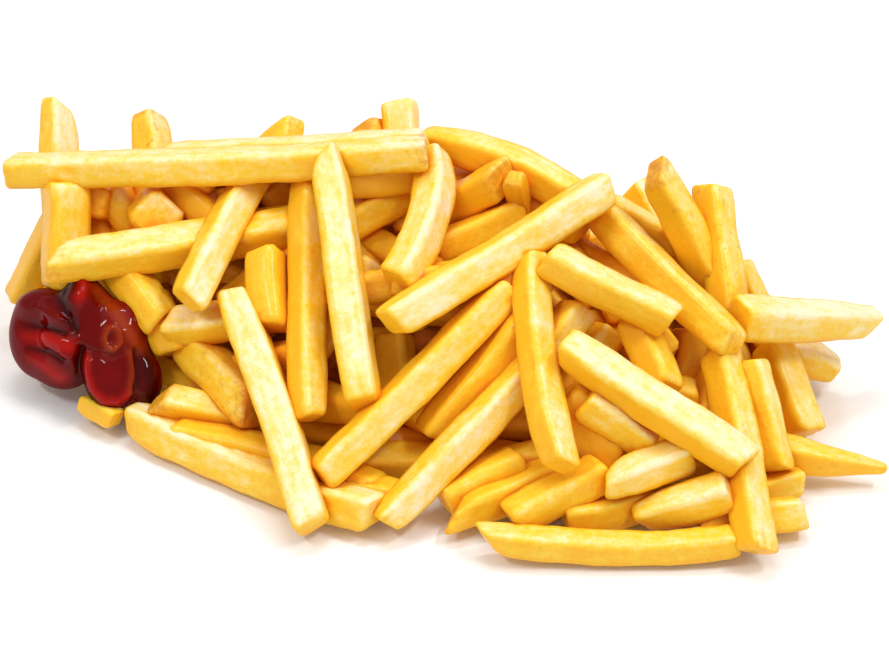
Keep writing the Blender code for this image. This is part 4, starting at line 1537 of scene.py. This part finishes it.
@dataclass
class FryHeap:
    """The fries: those that show, those of the back, and those that fill the heap.

    Attributes:
        step: Distance between a spine's points, mm.
        end_steps: How far in the rounded end's points lie, mm.
        end_widths: The width at each of them, as a share.
        wander: How far a spine strays from its straight or bowed line, mm.
        slant_reach: How far in an end's slanted cut is felt, mm.
        seed: The seed of the draws of each piece.
        brown_reach: How far in an end is toasted, mm.
        taper_reach: How far in an end narrows, mm.
        waves: How often a spine sways, up and sideways, and its thickness swings, radians.
        swing: How much the thickness swings, as a share.
        tip_from: From which share of its length a fry with a narrow end narrows.
    """

    step: float = 2.4
    end_steps: tuple = (0.0, 0.3, 0.9, 2.0)
    end_widths: tuple = (0.78, 0.9, 0.967, 1.0)
    wander: float = 0.3
    slant_reach: float = 5.0
    seed: int = 21
    brown_reach: float = 8.0
    taper_reach: float = 13.0
    waves: tuple = (4.2, 5.0, 9.0)
    swing: float = 0.02
    tip_from: float = 0.35

    def look_of(self, fry: Fry, draw: random.Random) -> Look:
        """Gives a fry's looks, its own or drawn ones.

        Args:
            fry: The fry.
            draw: The draws.

        Returns:
            The looks.
        """
        browns = tuple(max(0.0, draw.uniform(-0.9, 0.6)) for _ in range(2))
        slants = (draw.uniform(-0.35, 0.35), draw.uniform(-0.35, 0.35))
        drawn = Look(draw.uniform(0.25, 0.7), browns, draw.uniform(0.0, 0.4), slants)
        gaps = {deeper.fry.name: deeper.look for deeper in DEEPER}
        return LOOKS.get(fry.name, gaps.get(fry.name, drawn))

    def distances(self, length: float) -> list[float]:
        """Gives how far from its start the points of a spine of some length lie, mm."""
        inset = self.end_steps[-1]
        count = max(3, round((length - 2.0 * inset) / self.step))
        middle = [inset + (length - 2.0 * inset) * i / count for i in range(1, count)]
        return [*self.end_steps, *middle, *(length - s for s in reversed(self.end_steps))]

    def end_share(self, distance: float) -> float:
        """Gives the width's share at a distance from an end."""
        pairs = list(zip(self.end_steps, self.end_widths))
        for (d0, w0), (d1, w1) in zip(pairs, pairs[1:]):
            if distance <= d1:
                return w0 + (w1 - w0) * (distance - d0) / (d1 - d0)
        return 1.0

    def spine(self, rod: Rod, sheet: SpineSheet, draw: random.Random, index: int) -> None:
        """Adds a fry's spine to a sheet.

        Args:
            rod: The fry's axis.
            sheet: The sheet.
            draw: The draws.
            index: Its number, which sets its own unevenness.
        """
        fry = rod.fry
        look = self.look_of(fry, draw)
        length = rod.length()
        axis = (rod.ends[1] - rod.ends[0]).normalized()
        facing = flat(rod.way(), axis).normalized()
        side = axis.cross(facing)
        if side.z < 0.0:
            side = -side
        turn = math.radians(fry.turn)
        first = facing * math.cos(turn) - side * math.sin(turn)
        phases = [draw.uniform(0.0, math.tau) for _ in range(5)]
        drawn = [draw.uniform(0.0, math.tau) for _ in range(2)]
        slant_turns = [a if cut is None else math.radians(cut) for a, cut in zip(drawn, look.cuts)]
        slants = [facing * math.cos(a) + side * math.sin(a) for a in slant_turns]
        for rank, distance in enumerate(self.distances(length)):
            share = distance / length
            ease = math.sin(math.pi * share)
            sway = [math.sin(wave * share + phase) for wave, phase in zip(self.waves, phases)]
            stray = facing * sway[0] * 0.5
            stray += side * sway[1]
            bow = fry.bow + look.bend
            centre = rod.at(share) + side * (bow * 4.0 * share * (1.0 - share))
            centre += stray * (self.wander * ease)
            thinning = max(0.0, (share - self.tip_from) / (1.0 - self.tip_from))
            width = fry.width * (1.0 + (fry.tip - 1.0) * thinning)
            width *= look.girth * (1.0 + self.swing * sway[2])
            rest = length - distance
            for gone, taper in zip((distance, rest), look.taper):
                left = max(0.0, 1.0 - gone / self.taper_reach)
                width *= 1.0 - (1.0 - taper) * left * left
            width *= self.end_share(min(distance, rest))
            near = max(0.0, 1.0 - distance / self.slant_reach)
            far = max(0.0, 1.0 - rest / self.slant_reach)
            skew = slants[0] * (look.slant[0] * near) + slants[1] * (look.slant[1] * far)
            toast = look.brown[0] * max(0.0, 1.0 - distance / self.brown_reach)
            toast = max(toast, look.brown[1] * max(0.0, 1.0 - rest / self.brown_reach))
            point = (centre + CENTRE_SHIFT) * MM
            sheet.add(
                point,
                rank > 0,
                girth=width * MM,
                tone=look.tone,
                brown=toast,
                speckle=look.speckle,
                fry_seed=index * 0.37,
                facing=first,
                run=axis,
                spine=point,
                skew=skew,
            )

    def sweep(
        self, name: str, rods: Sequence[Rod], sweep: FrySweep, skin: bpy.types.Material
    ) -> bpy.types.Object:
        """Makes the piece of some fries.

        Args:
            name: The piece's name.
            rods: Their axes.
            sweep: How fine they are.
            skin: Their material.

        Returns:
            The piece.
        """
        draw = random.Random(self.seed)
        sheet = SpineSheet()
        for index, rod in enumerate(rods):
            self.spine(rod, sheet, draw, index)
        return sweep.sweep(name, sheet, skin)


class PaintedShade:
    """Finds how closed in each point of a piece is and how far it faces away from the light, for
    painted shade in the colour.
    """

    # The direction the light comes from; points facing away from it get painted shade.
    lit_side = Vector((0.42, -0.34, 0.84))
    rays = 12
    reach = 0.014
    lift = 0.0004

    def __init__(self, pieces: Iterable[bpy.types.Object]) -> None:
        """Gathers the faces of the pieces that close each other in."""
        points: list[Vector] = []
        faces: list[list[int]] = []
        for piece in pieces:
            start = len(points)
            points.extend(vert.co.copy() for vert in piece.data.vertices)
            faces.extend([start + v for v in face.vertices] for face in piece.data.polygons)
        self.tree = BVHTree.FromPolygons(points, faces)
        self.spokes = []
        for index in range(self.rays):
            rise = 0.15 + 0.85 * (index + 0.5) / self.rays
            ring = math.sqrt(1.0 - rise * rise)
            turn = index * GOLDEN_TURN
            self.spokes.append(Vector((ring * math.cos(turn), ring * math.sin(turn), rise)))

    def closed_in(self, point: Vector, normal: Vector) -> float:
        """Gives how closed in a point is, from 0, open, to 1.

        Args:
            point: The point.
            normal: The direction away from its surface.

        Returns:
            The share of the directions that meet something near.
        """
        turn = normal.to_track_quat("Z", "Y").to_matrix()
        start = point + normal * self.lift
        total = 0.0
        for spoke in self.spokes:
            distance = self.tree.ray_cast(start, turn @ spoke, self.reach)[3]
            if distance is not None:
                total += 1.0 - 0.5 * distance / self.reach
        return total / self.rays

    def mark(self, piece: bpy.types.Object) -> None:
        """Writes how closed in a piece's points are and how far each faces away from the light, as
        painted shade.
        """
        mesh = piece.data
        layer = mesh.attributes.new("crevice_shade", "FLOAT", "POINT")
        values = [self.closed_in(vert.co, vert.normal) for vert in mesh.vertices]
        layer.data.foreach_set("value", values)
        layer = mesh.attributes.new("painted_shade_side", "FLOAT", "POINT")
        values = [0.5 - 0.5 * vert.normal.dot(self.lit_side) for vert in mesh.vertices]
        layer.data.foreach_set("value", values)


class Tint(Enum):
    """What a stroke changes besides the form, by the attribute that carries it."""

    NONE = ""
    # Lighter red, partly thinner sauce and partly a painted highlight and painted reflection on
    # ridges and rims.
    THIN_AND_SHEEN = "thin_and_painted_sheen"
    RUSTY = "rust"
    # Painted shade: near-black red along creases and the lower and right edges.
    DARK = "painted_dark_shade"


class Stroke(NamedTuple):
    """A fold, crease or tint of the ketchup, drawn as it shows in the photograph; some tints are
    painted shade and painted sheen.

    Attributes:
        path_px: The line that it follows, in pixels.
        reach: Half its width, mm.
        rise: How far it stands out, mm, below zero for a crease.
        tint: What it changes besides.
    """

    path_px: tuple
    reach: float
    rise: float
    tint: Tint = Tint.NONE


@dataclass
class Ketchup:
    """The dollop of ketchup: rounded lobes that flow into one wet lump.

    Attributes:
        layout: Says where a pixel's line of sight meets the heap.
        solid_lobes: The lobes of its solid, which the fries keep clear of.
        lobes: The lobes of the lump itself.
        strokes: Its folds, creases and tints, some tints painted shade and painted sheen.
        blend: How softly the lobes flow into each other, mm.
        detail: Subdivisions of the round surface that is drawn over them.
    """

    layout: Layout
    solid_lobes: tuple = (
        Lobe((42, 336), 8.8, 8.0, 11.0, 3.0),
        Lobe((74, 300), 8.6, 7.0, 6.6, 4.0),
        Lobe((50, 306), 8.4, 7.0, 6.0, 3.0),
        Lobe((84, 334), 12.5, 9.0, 12.5, 4.0),
        Lobe((109, 371), 6.6, 6.5, 8.8, 7.0),
        Lobe((124, 350), 7.4, 7.0, 12.0, 2.0),
    )
    lobes: tuple = (
        Lobe((39, 335), 7.6, 7.5, 10.9, 3.4),
        Lobe((50, 306), 8.0, 6.5, 4.6, 3.6),
        Lobe((81, 300), 5.6, 6.5, 6.6, 5.0),
        Lobe((64, 358), 8.4, 7.0, 8.0, 4.0),
        Lobe((84, 332), 10.4, 8.0, 12.0, 4.0),
        Lobe((109, 377), 6.6, 6.5, 9.2, 8.0),
        Lobe((122, 346), 6.8, 6.0, 11.5, 2.4),
        Lobe((144, 380), 4.6, 4.5, 6.8, 3.2),
    )
    strokes: tuple = (
        Stroke(((82, 274), (84, 288), (80, 300)), 1.5, 1.0, Tint.THIN_AND_SHEEN),
        Stroke(((66, 282), (60, 296), (67, 312), (74, 328)), 1.6, -1.3, Tint.DARK),
        Stroke(((27, 316), (38, 307), (52, 317), (66, 322)), 1.1, 1.4),
        Stroke(((26, 326), (44, 326), (64, 333)), 1.0, -0.8, Tint.DARK),
        Stroke(((26, 337), (46, 338), (72, 347)), 1.9, 0.8, Tint.THIN_AND_SHEEN),
        Stroke(((28, 349), (48, 351), (62, 361)), 0.8, -0.6, Tint.DARK),
        Stroke(((32, 358), (46, 366), (62, 378)), 1.8, 0.7, Tint.THIN_AND_SHEEN),
        Stroke(((65, 352), (72, 356)), 1.2, 1.1),
        Stroke(((20, 372), (40, 384), (70, 398)), 1.6, 0.0, Tint.DARK),
        Stroke(((80, 348), (78, 368), (83, 390), (93, 405)), 1.1, -1.5, Tint.DARK),
        Stroke(((87, 358), (87, 374), (92, 390), (104, 400), (118, 401), (129, 392)), 1.0, 0.9,
               Tint.THIN_AND_SHEEN),
        Stroke(((84, 350), (98, 353), (113, 356), (127, 351)), 0.9, -0.8),
        Stroke(((104, 339), (107, 329), (113, 327), (119, 332), (120, 342), (114, 350),
                (107, 348), (104, 339)), 0.8, 0.8, Tint.RUSTY),
        Stroke(((112, 336), (112, 342)), 1.0, -0.8),
        Stroke(((98, 288), (113, 307), (129, 331), (140, 350)), 1.7, -0.2, Tint.RUSTY),
        Stroke(((131, 352), (133, 372), (130, 390)), 0.9, 0.3, Tint.RUSTY),
        Stroke(((137, 352), (139, 374), (135, 398)), 0.9, -1.2, Tint.DARK),
        Stroke(((146, 362), (152, 384), (150, 398)), 2.8, 0.0, Tint.DARK),
    )
    blend: float = 0.9
    detail: int = 6

    def centres_of(self, lobes: Sequence[Lobe]) -> list[Vector]:
        """Gives where the middles of lobes lie, mm."""
        eye = self.layout.view.eye
        lines = [(lobe, self.layout.view.sight(lobe.centre_px)) for lobe in lobes]
        return [eye + line * (self.layout.layer_distance(line) - lobe.proud) for lobe, line in lines]

    def share_out(self, point: Vector, centre: Vector, lobe: Lobe, margin: float) -> float:
        """Gives how far out a point is in a lobe, 1 on its surface.

        Args:
            point: The point, mm.
            centre: The lobe's middle, mm.
            lobe: The lobe.
            margin: How much larger than itself it counts, mm.

        Returns:
            The share.
        """
        view = self.layout.view
        offset = point - centre
        across = offset.dot(view.right) / (lobe.across + margin)
        thick = offset.dot(view.to_eye) / (lobe.thick + margin)
        tall = offset.dot(view.up) / (lobe.tall + margin)
        return math.sqrt(across * across + thick * thick + tall * tall)

    def meets(self, rod: Rod) -> bool:
        """Says whether the solid fry of a rod would pass into the solid ketchup."""
        margin = rod.fry.width * 0.5 + 0.3
        spots = [rod.at(step / 12.0) for step in range(13)]
        return any(
            self.share_out(spot, centre, lobe, margin) < 1.0
            for lobe, centre in zip(self.solid_lobes, self.centres_of(self.solid_lobes))
            for spot in spots
        )

    def depth(self, point: Vector, centres: Sequence[Vector]) -> float:
        """Gives about how far a point is outside the lump.

        Args:
            point: The point, mm.
            centres: The lobes' middles.

        Returns:
            The distance, mm, below zero inside.
        """
        total = 0.0
        for lobe, centre in zip(self.lobes, centres):
            over = self.share_out(point, centre, lobe, 0.0) - 1.0
            total += math.exp(-over * min(lobe.across, lobe.thick, lobe.tall) / self.blend)
        return -self.blend * math.log(max(total, 1e-30))

    def stroke_share(self, stroke: Stroke, px: tuple[float, float]) -> float:
        """Gives how strongly a stroke is felt at a pixel.

        Args:
            stroke: The stroke.
            px: The pixel.

        Returns:
            From 0, not at all, to 1, on its line.
        """
        nearest = math.inf
        for (x0, y0), (x1, y1) in zip(stroke.path_px, stroke.path_px[1:]):
            dx, dy = x1 - x0, y1 - y0
            f = ((px[0] - x0) * dx + (px[1] - y0) * dy) / (dx * dx + dy * dy)
            f = held(f, 0.0, 1.0)
            nearest = min(nearest, math.hypot(px[0] - x0 - dx * f, px[1] - y0 - dy * f))
        away = nearest / self.layout.view.px_per_mm / stroke.reach
        return math.exp(-away * away)

    def build(self, finish: TomatoSauce) -> bpy.types.Object:
        """Builds the lump with its finish, and returns the piece."""
        view = self.layout.view
        centres = self.centres_of(self.lobes)
        heart = sum(centres, Vector()) / len(centres)
        halvings = 16
        bm = bmesh.new()
        bmesh.ops.create_icosphere(bm, subdivisions=self.detail, radius=1.0)
        layers = {
            tint: bm.verts.layers.float.new(tint.value) for tint in Tint if tint is not Tint.NONE
        }
        for vert in bm.verts:
            ray = vert.co.normalized()
            low, high = 0.0, 40.0
            for _ in range(halvings):
                middle = (low + high) / 2.0
                if self.depth(heart + ray * middle, centres) < 0.0:
                    low = middle
                else:
                    high = middle
            px = view.pixel_of(heart + ray * low)
            front = held(ray.dot(view.to_eye) * 2.0 + 0.6, 0.0, 1.0)
            for stroke in self.strokes:
                share = self.stroke_share(stroke, px) * front
                low += stroke.rise * share
                if stroke.tint is not Tint.NONE:
                    layer = layers[stroke.tint]
                    vert[layer] = max(vert[layer], share)
            vert.co = heart + ray * low
        piece = put_in_scene("ketchup_lump", mesh_in_metres("ketchup_lump", bm))
        piece.data.materials.append(finish.material())
        piece.data.shade_smooth()
        return piece


class Lamp(NamedTuple):
    """One soft rectangular light: its power in watts, its sides and its place in metres."""

    name: str
    power: float
    size: tuple
    place: tuple


@dataclass
class Studio:
    """The plain pale floor and the soft light of the studio.

    Attributes:
        floor_size: Side of the floor, metres.
        lamps: The broad light above, and the narrow ones that make the sauce's small glints.
        aim: What they point at, metres.
        sky: Strength of the even light from all round.
    """

    floor_size: float = 6.0
    lamps: tuple = (
        Lamp("key", 2.1, (0.32, 0.045), (0.42, -0.16, 0.75)),
        Lamp("top", 2.8, (1.3, 1.3), (0.0, 0.1, 1.1)),
        Lamp("glint", 1.6, (0.32, 0.045), (-0.02, 0.12, 0.9)),
        Lamp("fill", 1.5, (0.32, 0.045), (-0.45, -0.3, 0.7)),
    )
    aim: tuple = (0.0, 0.0, 0.02)
    sky: float = 0.55

    def add_lamp(self, lamp: Lamp) -> None:
        """Adds one light."""
        data = bpy.data.lights.new(lamp.name, "AREA")
        data.energy = lamp.power
        data.shape = "RECTANGLE"
        data.size, data.size_y = lamp.size
        light = bpy.data.objects.new(lamp.name, data)
        light.location = lamp.place
        way = Vector(self.aim) - Vector(lamp.place)
        light.rotation_euler = way.to_track_quat("-Z", "Y").to_euler()
        bpy.context.scene.collection.objects.link(light)

    def build(self) -> None:
        """Adds the floor, the lights and the even light from all round."""
        bm = bmesh.new()
        bmesh.ops.create_grid(bm, x_segments=1, y_segments=1, size=self.floor_size / 2.0)
        mesh = bpy.data.meshes.new("floor")
        bm.to_mesh(mesh)
        bm.free()
        floor = put_in_scene("floor", mesh)
        floor.data.materials.append(PlainFloor().material())
        for lamp in self.lamps:
            self.add_lamp(lamp)
        world = bpy.data.worlds.new("studio")
        world.use_nodes = True
        background = world.node_tree.nodes["Background"]
        background.inputs["Color"].default_value = (1.0, 1.0, 1.0, 1.0)
        background.inputs["Strength"].default_value = self.sky
        bpy.context.scene.world = world
        bpy.context.scene.view_settings.view_transform = "Standard"


def main() -> None:
    """Builds the pieces in order and ties them to the frame."""
    logging.basicConfig(level=logging.INFO, format="%(name)s: %(message)s")
    view = PhotoView()
    layer = MiddleLayer()
    layout = Layout(view, layer)
    ketchup = Ketchup(layout)
    view.add_camera()
    Studio().build()

    seen = layout.lay_seen()
    back = layout.lay_where_room(Layout.back, seen)
    layout.gather([rod for rod in seen + back if not ketchup.meets(rod)])
    back = layout.clear_view([rod for rod in back if not ketchup.meets(rod)])
    deeper = layout.lay_deeper()
    shown = seen + deeper
    inner = layout.lay_where_room(Layout.inner, shown + back, shown)
    inner = deeper + [rod for rod in inner if not ketchup.meets(rod)]
    inner += layout.lay_where_room(Layout.rear, seen + back + inner, shown)
    LOG.info("%d fries show, %d at the back, %d inside", len(seen), len(back), len(inner))

    heap = FryHeap()
    skin = FriedPotato().material()
    coarse = FrySweep(around=16)
    front_piece = heap.sweep("fries_front", seen, FrySweep(), skin)
    back_piece = heap.sweep("fries_back", back, coarse, skin)
    inner_piece = heap.sweep("fries_inner", inner, coarse, skin)
    fries = [front_piece, back_piece, inner_piece]
    painted_shade = PaintedShade(fries)
    for piece in fries:
        painted_shade.mark(piece)
        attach(piece, "root")
        LOG.info("%s has %d faces", piece.name, len(piece.data.polygons))
    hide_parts("fries")

    shape = layer.shape(inset=26.0, sides=32, rings=32, reach=90.0)
    core = put_in_scene("heap_core", mesh_in_metres("heap_core", shape))
    # The core is coloured with painted shade where it shows in the deepest gaps.
    core.data.materials.append(DeepShade().material())
    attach(core, "root")

    lump = ketchup.build(TomatoSauce())
    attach(lump, "root")
    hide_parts("ketchup")
    LOG.info("%s has %d faces", lump.name, len(lump.data.polygons))


if __name__ == "__main__":
    main()
